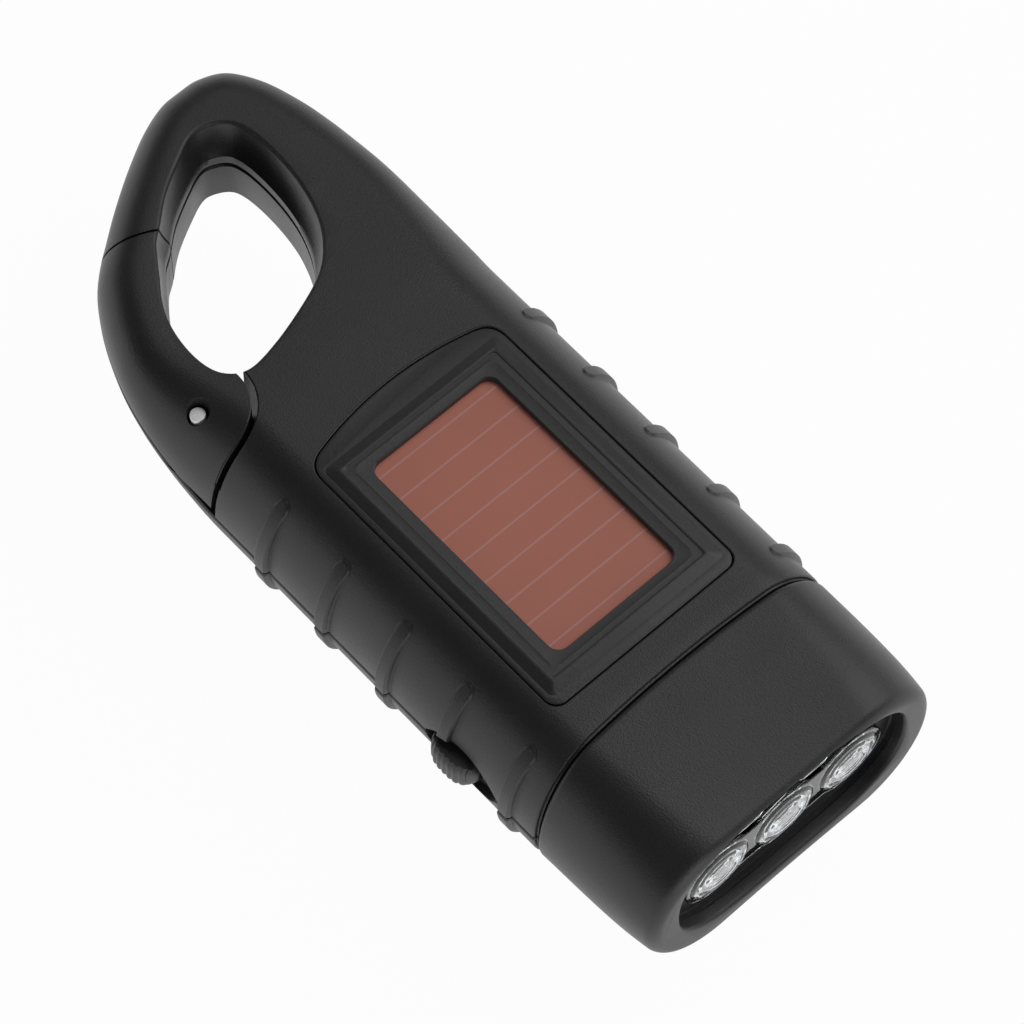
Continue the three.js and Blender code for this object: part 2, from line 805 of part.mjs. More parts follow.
const plateBossPlaces = [
  placeRound(idlerX, idlerTeeth, rearBossBearing),
  placeRound(crankX, crankTeeth, frontBossBearing),
  placeRound(idlerX, idlerTeeth, sideBossBearing),
];

const mainBoardBossX = mainBoardFrontX - mainBoardBossFromEdge;
const mainBoardPostX = mainBoardRearX + mainBoardBossFromEdge;
const frontBossPlaces = [[mainBoardBossX, mainBoardBossY], [mainBoardBossX, -mainBoardBossY]];
const rearPostPlaces = [[mainBoardPostX, mainBoardBossY], [mainBoardPostX, -mainBoardBossY]];

function cavity() {
  const rearX = tailX + cavityRear;
  const body = drawnAlongX(bodySection(wall), rearX, seamX - wall);
  const mouth = drawnAlongX(bodySection(2 * wall), rearX, collarX + cutOverrun);
  const round = pillar(pivotX, gatePivotY, gateHeelRadius + gateHeelGroove + wall, 0, topZ, wideSides);
  const beside = box(
    rearX - cutOverrun, pivotX + gateHeelRadius + gateHeelGroove + wall,
    -bodyHalfWidth, gatePivotY, 0, topZ,
  );
  return body.add(mouth).subtract(round).subtract(beside);
}

function ribs() {
  const grown = hull(ribHeight);
  const slabs = [];
  for (let i = 0; i < 5; i += 1) {
    const x = tailX + ribFirstFromTail + i * ribSpacing;
    const far = bodyHalfWidth + cutOverrun;
    slabs.push(box(x, x + ribWidth, ribInnerY, far, backZ, topZ));
    slabs.push(box(x, x + ribWidth, -far, -ribInnerY, backZ, topZ));
  }
  return grown.intersect(union(slabs));
}

// The space for the switch button: a lens-shaped scoop, and a slot through its floor.
function switchSpace() {
  const half = slotLength / 2;
  const radius = (half * half + slotHalfHeight * slotHalfHeight) / (2 * slotHalfHeight);
  const reach = Math.asin(half / radius);
  const shape = new THREE.Shape();
  const drop = radius - slotHalfHeight;
  shape.absarc(slotX, partingZ + drop, radius, -Math.PI / 2 - reach, -Math.PI / 2 + reach);
  shape.absarc(slotX, partingZ - drop, radius, Math.PI / 2 - reach, Math.PI / 2 + reach);
  const outer = -bodyHalfWidth - cutOverrun;
  const scoop = drawnAlongY(shape, outer, buttonScoopDepth - bodyHalfWidth, quarterSteps * 2);
  const slotHalf = (neckLength + switchTravel) / 2 + fitGap;
  const slot = box(
    buttonX + switchTravel / 2 - slotHalf, buttonX + switchTravel / 2 + slotHalf,
    outer, -bodyHalfWidth + 3 * wall,
    partingZ - neckHalfHeight - fitGap, partingZ + neckHalfHeight + fitGap,
  );
  return scoop.add(slot);
}

// A pad inside the wall that makes up for the scoop.
function switchPad() {
  const inner = -bodyHalfWidth + buttonScoopDepth + slotFloorThickness;
  const half = slotLength / 2 + wall;
  const height = slotHalfHeight + wall;
  return box(
    slotX - half, slotX + half,
    -bodyHalfWidth + wall / 2, inner,
    partingZ - height, partingZ + height,
  );
}

function shellBody() {
  const collar = drawnAlongX(bodySection(wall + 2 * fitGap), seamX - wall, collarX);
  return union([hull(0), collar, ribs()]).subtract(cavity());
}

const wholeShell = shellBody();

// Heights of a shell screw's underside, seat and point.
function shellScrewLevels(x) {
  const { top, bottom } = profileAt(x);
  const under = bottom + shellScrewSink;
  const seat = under + shellScrewHeadHeight;
  return { under, seat, point: Math.min(seat + shellScrewReach, top - 2 * wall) };
}

function shellScrewCut([x, y], head) {
  const { seat, point } = shellScrewLevels(x);
  const shank = pillar(x, y, shellScrewRadius + fitGap, 0, point + fitGap);
  return head ? shank.add(pillar(x, y, shellScrewHeadRadius + fitGap, 0, seat, roundSides)) : shank;
}

function shellBosses(side) {
  return shellScrewPlaces.map(([x, y]) => {
    const limit = side > 0 ? topZ - wall / 2 : profileAt(x).bottom + wall / 2;
    const [z0, z1] = side > 0 ? [partingZ, limit] : [limit, partingZ];
    return pillar(x, y, shellBossRadius, z0, z1, roundSides);
  });
}

function upperShell() {
  const ledge = raised(bezelOutline(bossWall), bezelBottomZ - bezelLedgeThickness, topZ - wall / 2)
    .intersect(drawnAlongX(bodySection(wall / 2), bezelRearX - cutOverrun, seamX));
  const pocket = raised(bezelOutline(fitGap), bezelBottomZ, topZ + cutOverrun);
  const well = raised(bezelOutline(-bezelLedgeWidth), floorZ + wall, topZ + cutOverrun);
  const bosses = union(shellBosses(1)).intersect(drawnAlongX(bodySection(wall / 2), tailX, seamX));
  const body = wholeShell.add(ledge).add(switchPad()).add(bosses);
  const space = gateSpace(gateHeelGroove, gateTipGap);
  const screwCuts = shellScrewPlaces.map((spot) => shellScrewCut(spot, false));
  const cuts = union([opening, space, pocket, well, switchSpace(), ...screwCuts]);
  return body.intersect(partingHalf(1)).subtract(cuts);
}

function gearBosses() {
  const low = floorZ - wall / 2;
  return union([
    ...plateBossPlaces.map(([x, y]) => pillar(x, y, plateBossRadius, low, plateBottomZ)),
    ...frontBossPlaces.map(([x, y]) => pillar(x, y, mainBoardBossRadius, low, mainBoardZ)),
    pillar(idlerX, 0, idlerShaftRadius + bossWall, low, gearBottomZ - runningGap),
    pillar(rotorX, rotorY, rotorShaftRadius + bossWall, low, gearSecondZ - 2 * runningGap),
  ]);
}

function batteryCradle() {
  const plates = [-1, 1].map((side) => {
    const y = side * cradleSpacing / 2;
    return box(
      batteryX - cradleReach / 2, batteryX + cradleReach / 2,
      y - cradleThickness / 2, y + cradleThickness / 2,
      floorZ - wall / 2, batteryZ - batteryRadius / 2,
    );
  });
  const reach = batteryLength;
  const space = rodAlongY(batteryX, batteryZ, batteryRadius + fitGap, -reach, reach, wideSides);
  const inside = drawnAlongX(bodySection(wall + fitGap), tailX, collarX);
  return union(plates).subtract(space).intersect(inside);
}

function lowerShell() {
  const holes = [
    pillar(idlerX, 0, idlerShaftRadius + fitGap, floorZ - wall / 2, topZ),
    pillar(rotorX, rotorY, rotorShaftRadius + runningGap, floorZ, topZ),
    pillar(crankX, 0, shaftRadius + runningGap + bushingWall + fitGap, 0, topZ, roundSides),
    pillar(pivotX, gatePivotY, gatePinRadius + fitGap, profileAt(pivotX).bottom + wall, topZ, roundSides),
    ...[...plateBossPlaces, ...frontBossPlaces].map(([x, y]) => (
      pillar(x, y, boardScrewRadius + fitGap, floorZ + wall, topZ)
    )),
    ...shellScrewPlaces.map((spot) => shellScrewCut(spot, true)),
  ];
  const bosses = union(shellBosses(-1)).intersect(drawnAlongX(bodySection(wall / 2), tailX, seamX));
  const half = union([wholeShell, switchPad(), bosses]).intersect(partingHalf(-1));
  const gateCut = gateSpace(gateHeelGroove, gateTipGap).subtract(earSpace(0));
  const cuts = union([opening, gateCut, switchSpace(), ...holes]);
  return union([half, gearBosses(), batteryCradle()]).subtract(cuts);
}

function shellScrew([x, y]) {
  const { under, point } = shellScrewLevels(x);
  const length = point - under;
  const profile = [
    [0, 0],
    [shellScrewHeadRadius, 0],
    [shellScrewHeadRadius, shellScrewHeadHeight],
    [shellScrewRadius, shellScrewHeadHeight],
    [shellScrewRadius, length],
    [0, length],
  ];
  return turned(profile, x, y, under, screwSides);
}

// Head

// One ring of the head, at a share of its length, set in by the given amount.
function headRing(x, inset) {
  const start = seamX + headSeamGap;
  const share = THREE.MathUtils.clamp((x - start) / (faceX - start), 0, 1);
  const top = topZ - headFaceTopDrop * share * share - inset;
  const bottom = backZ + headFaceBottomRise * share + inset;
  const middle = THREE.MathUtils.lerp(partingZ, lightZ, share);
  const half = THREE.MathUtils.lerp(bodyHalfWidth, headFaceHalfWidth, share ** 4) - inset;
  const edge = THREE.MathUtils.lerp(edgeRound, headEdgeRound, share) - inset;
  const bowedX = (y) => (share > 0 ? x : x + seamBowAt(y));
  const ring = [];
  const add = (side, k, height) => {
    const angle = k / quarterSteps * Math.PI / 2;
    const y = side * (half - edge * (1 - Math.cos(angle)));
    const waist = k === 0 ? 0 : headWaist * share * (Math.cos(y / half * Math.PI) + 1) / 2;
    const z = middle + (height - Math.sign(height) * waist) * Math.sin(angle);
    ring.push(new THREE.Vector3(bowedX(y), y, z));
  };
  const acrossCount = 6;
  const addAcross = (height, sign) => {
    for (let i = 1; i < acrossCount; i += 1) {
      const y = sign * (half - edge) * (1 - 2 * i / acrossCount);
      const waist = headWaist * share * (Math.cos(y / half * Math.PI) + 1) / 2;
      ring.push(new THREE.Vector3(bowedX(y), y, middle + height - Math.sign(height) * waist));
    }
  };
  for (let k = 0; k <= quarterSteps; k += 1) {
    add(1, k, top - middle);
  }
  addAcross(top - middle, 1);
  for (let k = quarterSteps; k >= 0; k -= 1) {
    add(-1, k, top - middle);
  }
  for (let k = 1; k <= quarterSteps; k += 1) {
    add(-1, k, bottom - middle);
  }
  addAcross(bottom - middle, -1);
  for (let k = quarterSteps; k >= 1; k -= 1) {
    add(1, k, bottom - middle);
  }
  return ring;
}

function headOuter() {
  const start = seamX + headSeamGap;
  const rings = [];
  const steps = 5;
  const straightEnd = faceX - headFaceRounding;
  for (let i = 0; i <= steps; i += 1) {
    rings.push(headRing(THREE.MathUtils.lerp(start, straightEnd, i / steps), 0));
  }
  for (let i = 1; i <= 3; i += 1) {
    const angle = i / 3 * Math.PI / 2;
    const inset = headFaceRounding * (1 - Math.cos(angle));
    rings.push(headRing(straightEnd + headFaceRounding * Math.sin(angle), inset));
  }
  return skinned(rings, true, true);
}

function headInner() {
  const start = seamX + headSeamGap;
  const places = [start - cutOverrun, start, webBackX];
  return skinned(places.map((x) => headRing(x, headWall)), true, true);
}

// The front opening's outline, drawn in Y and Z, set in by the given amount.
function faceOpening(inset) {
  const half = headOpeningHalfWidth - inset;
  const height = headOpeningHalfHeight - inset;
  const middle = lightZ + headOpeningAboveLight;
  const points = [];
  for (let i = 0; i < wideSides; i += 1) {
    const angle = i / wideSides * 2 * Math.PI;
    const [c, s] = [Math.cos(angle), Math.sin(angle)];
    const y = half * Math.sign(c) * Math.abs(c) ** 0.62;
    const waist = headWaist * (Math.cos(y / half * Math.PI) + 1) / 2;
    points.push([y, middle + (height - waist) * Math.sign(s) * Math.abs(s) ** 0.8]);
  }
  return polygon(points);
}

const cupPlaces = [-1, 0, 1].map((i) => i * cupPitch);

function cupStrip(grow, x0, x1) {
  const radius = cupRadius + cupShell + grow;
  const discs = cupPlaces.map((y) => rodAlongX(y, lightZ, radius, x0, x1, roundSides));
  const web = headWaist + cupRadius / 2 + grow;
  const bar = box(x0, x1, cupPlaces[0], cupPlaces[2], lightZ - web, lightZ + web);
  return union([...discs, bar]);
}

function headShell() {
  const bore = drawnAlongX(faceOpening(0), webFrontX, faceX + cutOverrun);
  const window = cupStrip(cupWindowGap, webBackX - cutOverrun, faceX);
  return headOuter().subtract(headInner()).subtract(bore).subtract(window);
}

function reflector() {
  const flangeHalf = cupPitch + cupRadius + cupShell + reflectorFlangeMargin;
  const flangeHeight = cupRadius + cupShell + reflectorFlangeMargin;
  const flange = box(
    flangeBackX, webBackX,
    -flangeHalf, flangeHalf,
    lightZ - flangeHeight, lightZ + flangeHeight,
  );
  const front = cupStrip(0, flangeBackX, cupFrontX);
  const backs = cupPlaces.map((y) => turnedAlongX([
    [0, 0],
    [cupBackRadius + cupShell, 0],
    [cupRadius + cupShell, flangeBackX + joinOverlap - cupBackX],
    [0, flangeBackX + joinOverlap - cupBackX],
  ], cupBackX, y, lightZ));
  const bowls = cupPlaces.map((y) => {
    const profile = [[0, -cutOverrun], [cupBackRadius, -cutOverrun]];
    for (let i = 0; i <= 5; i += 1) {
      const share = i / 5;
      profile.push([cupBackRadius + (cupRadius - cupBackRadius) * Math.sqrt(share), share * cupDepth]);
    }
    profile.push([cupRadius, cupDepth + cutOverrun], [0, cupDepth + cutOverrun]);
    return turnedAlongX(profile, cupBackX, y, lightZ);
  });
  const postEndX = flangeBackX + joinOverlap;
  const pilotRadius = boardScrewRadius + fitGap;
  const posts = postPlaces().map(([y, z]) => rodAlongX(y, z, reflectorPostRadius, ledBackX, postEndX));
  const pilots = postPlaces().map(([y, z]) => (
    rodAlongX(y, z, pilotRadius, ledBackX - cutOverrun, flangeBackX)
  ));
  return union([flange, front, ...backs, ...posts]).subtract(union([...bowls, ...pilots]));
}

function postPlaces() {
  const y = cupPitch + cupRadius + cupShell + reflectorPostRadius - reflectorFlangeMargin / 2;
  return [[-y, lightZ], [y, lightZ]];
}

function frontLens() {
  const sheet = cupPlaces.map((y) => turnedAlongX([
    [0, 0],
    [cupRadius + cupShell, 0],
    [cupRadius + cupShell, lensThickness],
    [cupRadius, lensThickness],
    [cupRadius * 0.8, lensThickness * 1.4],
    [cupRadius * 0.4, lensThickness * 1.7],
    [0, lensThickness * 1.8],
  ], cupFrontX, y, lightZ));
  const web = headWaist + cupRadius / 2;
  const bar = box(
    cupFrontX, cupFrontX + lensThickness,
    cupPlaces[0], cupPlaces[2],
    lightZ - web, lightZ + web,
  );
  return union([...sheet, bar]);
}

function led(y) {
  const profile = [
    [0, 0],
    [ledFlangeRadius, 0],
    [ledFlangeRadius, ledFlangeThickness],
    [ledRadius, ledFlangeThickness],
    [ledRadius, ledLength - ledRadius],
  ];
  for (let i = 1; i < 4; i += 1) {
    const angle = i / 4 * Math.PI / 2;
    profile.push([ledRadius * Math.cos(angle), ledLength - ledRadius + ledRadius * Math.sin(angle)]);
  }
  profile.push([0, ledLength]);
  return turnedAlongX(profile, ledBackX, y, lightZ, 16);
}

function ledBoard() {
  const half = cupPitch + cupRadius + cupShell + 2 * reflectorPostRadius;
  const board = box(
    ledBackX - boardThickness, ledBackX,
    -half, half,
    lightZ - ledBoardHalfHeight, lightZ + ledBoardHalfHeight,
  );
  const holes = postPlaces().map(([y, z]) => rodAlongX(
    y, z, boardScrewRadius + fitGap, ledBackX - boardThickness - cutOverrun, ledBackX + cutOverrun,
  ));
  return board.subtract(union(holes));
}

function smallScrewProfile(length) {
  return [
    [0, 0],
    [boardScrewHeadRadius, 0],
    [boardScrewHeadRadius, boardScrewHeadHeight],
    [boardScrewRadius, boardScrewHeadHeight],
    [boardScrewRadius, boardScrewHeadHeight + length],
    [0, boardScrewHeadHeight + length],
  ];
}

function ledBoardScrew([y, z]) {
  const back = ledBackX - boardThickness - boardScrewHeadHeight;
  return turnedAlongX(smallScrewProfile(boardScrewLength), back, y, z, screwSides);
}

// Solar bezel and cell

function pyramidRing(x0, x1, half, z) {
  const corners = [[x0, -half], [x1, -half], [x1, half], [x0, half]];
  return corners.map(([x, y]) => new THREE.Vector3(x, y, z));
}

function solarBezel() {
  const ridgeFrontX = (windowFrontX + windowRearX + ridgeLength) / 2;
  const ridgeRearX = ridgeFrontX - ridgeLength;
  const plate = raised(bezelOutline(0), bezelBottomZ, topZ);
  const [footRearX, footFrontX] = [ridgeRearX - ridgeSlope, ridgeFrontX + ridgeSlope];
  const rise = skinned([
    pyramidRing(footRearX, footFrontX, ridgeHalfWidth + ridgeSlope, topZ - wall / 2),
    pyramidRing(footRearX, footFrontX, ridgeHalfWidth + ridgeSlope, topZ),
    pyramidRing(ridgeRearX, ridgeFrontX, ridgeHalfWidth, topZ + bezelRise),
  ], true, true);
  const lipZ = cellTopZ + cellLip;
  const slope = skinned([
    pyramidRing(windowRearX, windowFrontX, windowHalfWidth, lipZ),
    pyramidRing(ridgeRearX, ridgeFrontX, ridgeHalfWidth, topZ + bezelRise),
    pyramidRing(ridgeRearX, ridgeFrontX, ridgeHalfWidth, topZ + bezelRise + cutOverrun),
  ], true, true);
  const window = raised(
    roundedRectangle(windowRearX, windowFrontX, -windowHalfWidth, windowHalfWidth, windowCorner),
    floorZ, topZ + cutOverrun,
  );
  const seat = box(
    windowRearX - 2 * fitGap, windowFrontX + 2 * fitGap,
    -windowHalfWidth - 2 * fitGap, windowHalfWidth + 2 * fitGap, floorZ, cellTopZ,
  );
  return plate.add(rise).subtract(slope).subtract(window).subtract(seat);
}

function solarCell() {
  return box(
    windowRearX - fitGap, windowFrontX + fitGap,
    -windowHalfWidth - fitGap, windowHalfWidth + fitGap, cellTopZ - cellThickness, cellTopZ,
  );
}

// Battery, board and switch

function batteryPack() {
  const half = batteryLength / 2;
  const profile = [
    [0, -half],
    [batteryRadius - batteryGroove, -half],
    [batteryRadius, batteryGroove - half],
  ];
  [-1, 1].forEach((side) => {
    const joint = side * batteryLength / 6;
    profile.push(
      [batteryRadius, joint - batteryGroove],
      [batteryRadius - batteryGroove, joint],
      [batteryRadius, joint + batteryGroove],
    );
  });
  profile.push([batteryRadius, half - batteryGroove], [batteryRadius - batteryGroove, half], [0, half]);
  const geometry = new THREE.LatheGeometry(profile.map(([r, h]) => new THREE.Vector2(r, h)), roundSides);
  geometry.translate(batteryX, 0, batteryZ);
  return solidFrom(geometry);
}

const boardScrewPlaces = [...frontBossPlaces, ...rearPostPlaces];

function mainBoard() {
  const half = mainBoardWidth / 2;
  const board = box(mainBoardRearX, mainBoardFrontX, -half, half, mainBoardZ, mainBoardTopZ);
  const holes = boardScrewPlaces.map(([x, y]) => pillar(x, y, boardScrewRadius + fitGap, floorZ, topZ));
  return board.subtract(union(holes));
}

// A small screw driven in from above, with its head on the given height.
function screwFromAbove([x, y], seatZ) {
  const profile = smallScrewProfile(boardScrewLength).map(([r, h]) => [r, -h]).reverse();
  return turned(profile, x, y, seatZ + boardScrewHeadHeight, screwSides);
}

function boardCapacitor() {
  const profile = [
    [0, 0],
    [capacitorRadius, 0],
    [capacitorRadius, 0.2 * capacitorHeight],
    [0.92 * capacitorRadius, 0.26 * capacitorHeight],
    [capacitorRadius, 0.32 * capacitorHeight],
    [capacitorRadius, capacitorHeight],
    [0, capacitorHeight],
  ];
  return turned(profile, mainBoardPostX + capacitorRadius + boardScrewHeadRadius, 0, mainBoardTopZ);
}

function boardInductor() {
  const x = mainBoardFrontX - 0.8 * inductorSize;
  const [low, high] = [0.3, 0.7].map((share) => mainBoardTopZ + share * inductorHeight);
  const core = pillar(x, 0, inductorSize / 2, mainBoardTopZ, mainBoardTopZ + inductorHeight, 8);
  const waist = pillar(x, 0, inductorSize, low, high, 8)
    .subtract(pillar(x, 0, 0.4 * inductorSize, floorZ, topZ, 8));
  return core.subtract(waist);
}

function boardChip() {
  const x = (mainBoardBossX + mainBoardPostX) / 2;
  const y = mainBoardBossY - boardScrewHeadRadius - chipWidth;
  const body = box(
    x - chipLength / 2, x + chipLength / 2,
    y - chipWidth / 2, y + chipWidth / 2,
    mainBoardTopZ, mainBoardTopZ + chipHeight,
  );
  const legEnd = 0.7 * chipWidth;
  const legTopZ = mainBoardTopZ + 0.3 * chipHeight;
  const legs = [];
  for (let i = 0; i < 4; i += 1) {
    const legX = x - chipLength / 2 + (i + 0.5) * chipLength / 4;
    const legHalf = chipLength / 16;
    legs.push(box(legX - legHalf, legX + legHalf, y - legEnd, y + legEnd, mainBoardTopZ, legTopZ));
  }
  return union([body, ...legs]);
}

function bridgeRectifier() {
  const x = (mainBoardBossX + mainBoardPostX) / 2;
  const y = boardScrewHeadRadius + rectifierSize - mainBoardBossY;
  const half = rectifierSize / 2;
  const body = box(x - half, x + half, y - half, y + half, mainBoardTopZ, mainBoardTopZ + rectifierHeight);
  const feet = [1, -1].map((side) => {
    const footX = x + side * half / 2;
    const footTopZ = mainBoardTopZ + rectifierHeight / 4;
    return box(
      footX - half / 5, footX + half / 5,
      y - 1.3 * half, y + 1.3 * half,
      mainBoardTopZ, footTopZ,
    );
  });
  return union([body, ...feet]);
}

// The slide switch under the board's left edge, open on the side where its lever comes out.
function slideSwitch() {
  const top = mainBoardZ;
  const y0 = -mainBoardWidth / 2;
  const x = buttonX + switchTravel / 2;
  const body = box(
    x - switchLength / 2, x + switchLength / 2,
    y0, y0 + switchWidth,
    top - switchHeight, top,
  );
  const slotHalf = (switchLeverWidth + switchTravel) / 2 + fitGap;
  const slot = box(
    x - slotHalf, x + slotHalf, y0 - cutOverrun, y0 + 0.7 * switchWidth,
    partingZ - switchLeverWidth / 2 - fitGap, partingZ + switchLeverWidth / 2 + fitGap,
  );
  return body.subtract(slot);
}

function switchButton() {
  const floorY = -bodyHalfWidth + buttonScoopDepth - fitGap;
  const outerY = -bodyHalfWidth - buttonProud;
  const half = buttonLength / 2;
  const points = [[-half, floorY], [half, floorY]];
  const count = buttonRibCount * 2;
  const crownAt = (share) => {
    const fall = Math.abs(share) ** 2.4;
    return THREE.MathUtils.lerp(outerY, floorY, 0.8 * fall);
  };
  for (let i = 0; i <= count; i += 1) {
    const share = 1 - 2 * i / count;
    const ridge = i % 2 === 0 ? 0 : buttonRibDepth;
    points.push([share * half, crownAt(share) + (i > 0 && i < count ? ridge : 0)]);
  }
  const [low, high] = [partingZ - buttonHalfHeight, partingZ + buttonHalfHeight];
  const block = raised(polygon(points.map(([u, v]) => [buttonX + u, v])), low, high);
  const face = roundedRectangle(buttonX - half, buttonX + half, low, high, buttonCorner);
  const cap = block.intersect(drawnAlongY(face, outerY - cutOverrun, floorY + cutOverrun, 3));
  const neckInnerY = -bodyHalfWidth + buttonScoopDepth + slotFloorThickness + fitGap;
  const neck = box(
    buttonX - neckLength / 2, buttonX + neckLength / 2, floorY, neckInnerY,
    partingZ - neckHalfHeight, partingZ + neckHalfHeight,
  );
  const retainer = box(
    buttonX - half, buttonX + half, neckInnerY, neckInnerY + retainerThickness,
    partingZ - buttonHalfHeight, partingZ + buttonHalfHeight,
  );
  const leverY = -mainBoardWidth / 2 + 0.7 * switchWidth - fitGap;
  const lever = box(
    buttonX - switchLeverWidth / 2, buttonX + switchLeverWidth / 2, neckInnerY, leverY,
    partingZ - switchLeverWidth / 2, partingZ + switchLeverWidth / 2,
  );
  return union([cap, neck, retainer, lever]);
}

// Gears

function gearShape(teeth, turn) {
  const pitch = teeth * gearModule / 2;
  const tip = pitch + addendumShare * gearModule;
  const root = pitch - dedendumShare * gearModule;
  const slope = Math.tan(THREE.MathUtils.degToRad(pressureAngle)) * gearModule;
  const half = toothThicknessShare * Math.PI * gearModule / 2;
  const points = [];
  for (let i = 0; i < teeth; i += 1) {
    const centre = turn + i / teeth * 2 * Math.PI;
    const corner = (radius, thickness) => {
      const angle = centre + thickness / radius;
      points.push([radius * Math.cos(angle), radius * Math.sin(angle)]);
    };
    corner(root, -half - dedendumShare * slope / 2);
    corner(tip, addendumShare * slope - half);
    corner(tip, half - addendumShare * slope);
    corner(root, half + dedendumShare * slope / 2);
  }
  return points;
}

function gearWheel(teeth, turn, x, y, z0, z1) {
  return raised(polygon(gearShape(teeth, turn).map(([u, v]) => [x + u, y + v])), z0, z1);
}

function crankGear() {
  const wheel = gearWheel(crankTeeth, 0, crankX, 0, gearBottomZ, gearBottomZ + gearWidth);
  const shaft = pillar(crankX, 0, shaftRadius, armThickness, gearSecondZ, roundSides);
  const stub = pillar(crankX, 0, shaftRadius / 2, gearBottomZ, plateTopZ, smallSides);
  const hex = pillar(crankX, 0, hexRadius, armThickness - socketDepth + fitGap, armThickness, 6);
  const pilotEndZ = hubRecessDepth + crankScrewLength;
  const pilot = pillar(crankX, 0, crankScrewRadius + fitGap, 0, pilotEndZ, smallSides);
  return union([wheel, shaft, stub, hex]).subtract(pilot);
}

function idlerGear() {
  const halfTooth = Math.PI / pinionTeeth;
  const pinion = gearWheel(pinionTeeth, halfTooth, idlerX, 0, gearBottomZ, gearSecondZ);
  const wheel = gearWheel(idlerTeeth, rotorAngle, idlerX, 0, gearSecondZ, gearSecondZ + gearWidth);
  const bore = pillar(idlerX, 0, idlerShaftRadius + runningGap, 0, topZ, smallSides);
  return pinion.add(wheel).subtract(bore);
}

function idlerShaft() {
  return pillar(idlerX, 0, idlerShaftRadius, floorZ - wall / 2 + fitGap, plateTopZ);
}

function rotorPinion() {
  const turn = rotorAngle + Math.PI + Math.PI / pinionTeeth;
  const [pinionLowZ, pinionHighZ] = [gearSecondZ - runningGap, plateBottomZ - runningGap];
  const pinion = gearWheel(pinionTeeth, turn, rotorX, rotorY, pinionLowZ, pinionHighZ);
  const shaftTopZ = plateTopZ + magnetHeight + 2 * gearPlateGap;
  const shaft = pillar(rotorX, rotorY, rotorShaftRadius, floorZ + runningGap, shaftTopZ);
  return pinion.add(shaft);
}

function rotorMagnet() {
  const bottom = plateTopZ + gearPlateGap;
  const body = pillar(rotorX, rotorY, magnetRadius, bottom, bottom + magnetHeight, roundSides);
  const bore = pillar(rotorX, rotorY, rotorShaftRadius + fitGap, 0, topZ, smallSides);
  return body.subtract(bore);
}

function ringSolid(inner, outer, z0, z1) {
  const disc = pillar(rotorX, rotorY, outer, z0, z1, wideSides);
  return disc.subtract(pillar(rotorX, rotorY, inner, 0, topZ, roundSides));
}

function statorWinding() {
  return ringSolid(windingInner, windingOuter, plateTopZ + fitGap, plateTopZ + statorHeight - fitGap);
}

function statorCore() {
  return ringSolid(windingOuter + fitGap, statorOuter, plateTopZ, plateTopZ + statorHeight);
}

function gearPlate() {
  const corners = [...plateBossPlaces, ...rearPostPlaces, [rotorX, rotorY], [crankX, 0]];
  const pads = corners.map(([x, y]) => pillar(x, y, gearPlateMargin, plateBottomZ, plateTopZ, smallSides));
  const web = raised(polygon([
    plateBossPlaces[0], [mainBoardPostX, -mainBoardBossY], plateBossPlaces[1],
    [mainBoardPostX, mainBoardBossY], plateBossPlaces[2], [rotorX, rotorY],
  ]), plateBottomZ, plateTopZ);
  const seat = pillar(rotorX, rotorY, statorOuter, plateBottomZ, plateTopZ, roundSides);
  const posts = rearPostPlaces.map(([x, y]) => pillar(x, y, mainBoardBossRadius, plateBottomZ, mainBoardZ));
  const holes = [
    pillar(crankX, 0, shaftRadius / 2 + runningGap, 0, topZ),
    pillar(idlerX, 0, idlerShaftRadius + fitGap, 0, topZ),
    pillar(rotorX, rotorY, rotorShaftRadius + runningGap, 0, topZ),
    ...plateBossPlaces.map(([x, y]) => pillar(x, y, boardScrewRadius + fitGap, 0, topZ)),
    ...rearPostPlaces.map(([x, y]) => pillar(x, y, boardScrewRadius + fitGap, plateTopZ - wall / 2, topZ)),
  ];
  return union([...pads, web, seat, ...posts]).subtract(union(holes));
}

// Crank

function crankBushing() {
  const inner = shaftRadius + runningGap;
  const outer = inner + bushingWall;
  const profile = [
    [inner, backZ],
    [outer, backZ],
    [outer, floorZ],
    [outer + bushingFlange / 2, floorZ],
    [outer + bushingFlange / 2, floorZ + gearFloorGap / 2],
    [inner, floorZ + gearFloorGap / 2],
    [inner, backZ],
  ];
  return turned(profile, crankX, 0, 0);
}

function knobSlot() {
  const frontX = knobPinX + knobEyeRadius + knobLength + knobCapThickness + 2 * knobSlotGap;
  const half = knobRadius + knobSlotGap;
  const rearX = knobPinX - knobEyeRadius - knobSlotGap;
  return box(rearX, frontX, -half, half, -cutOverrun, armThickness + cutOverrun);
}

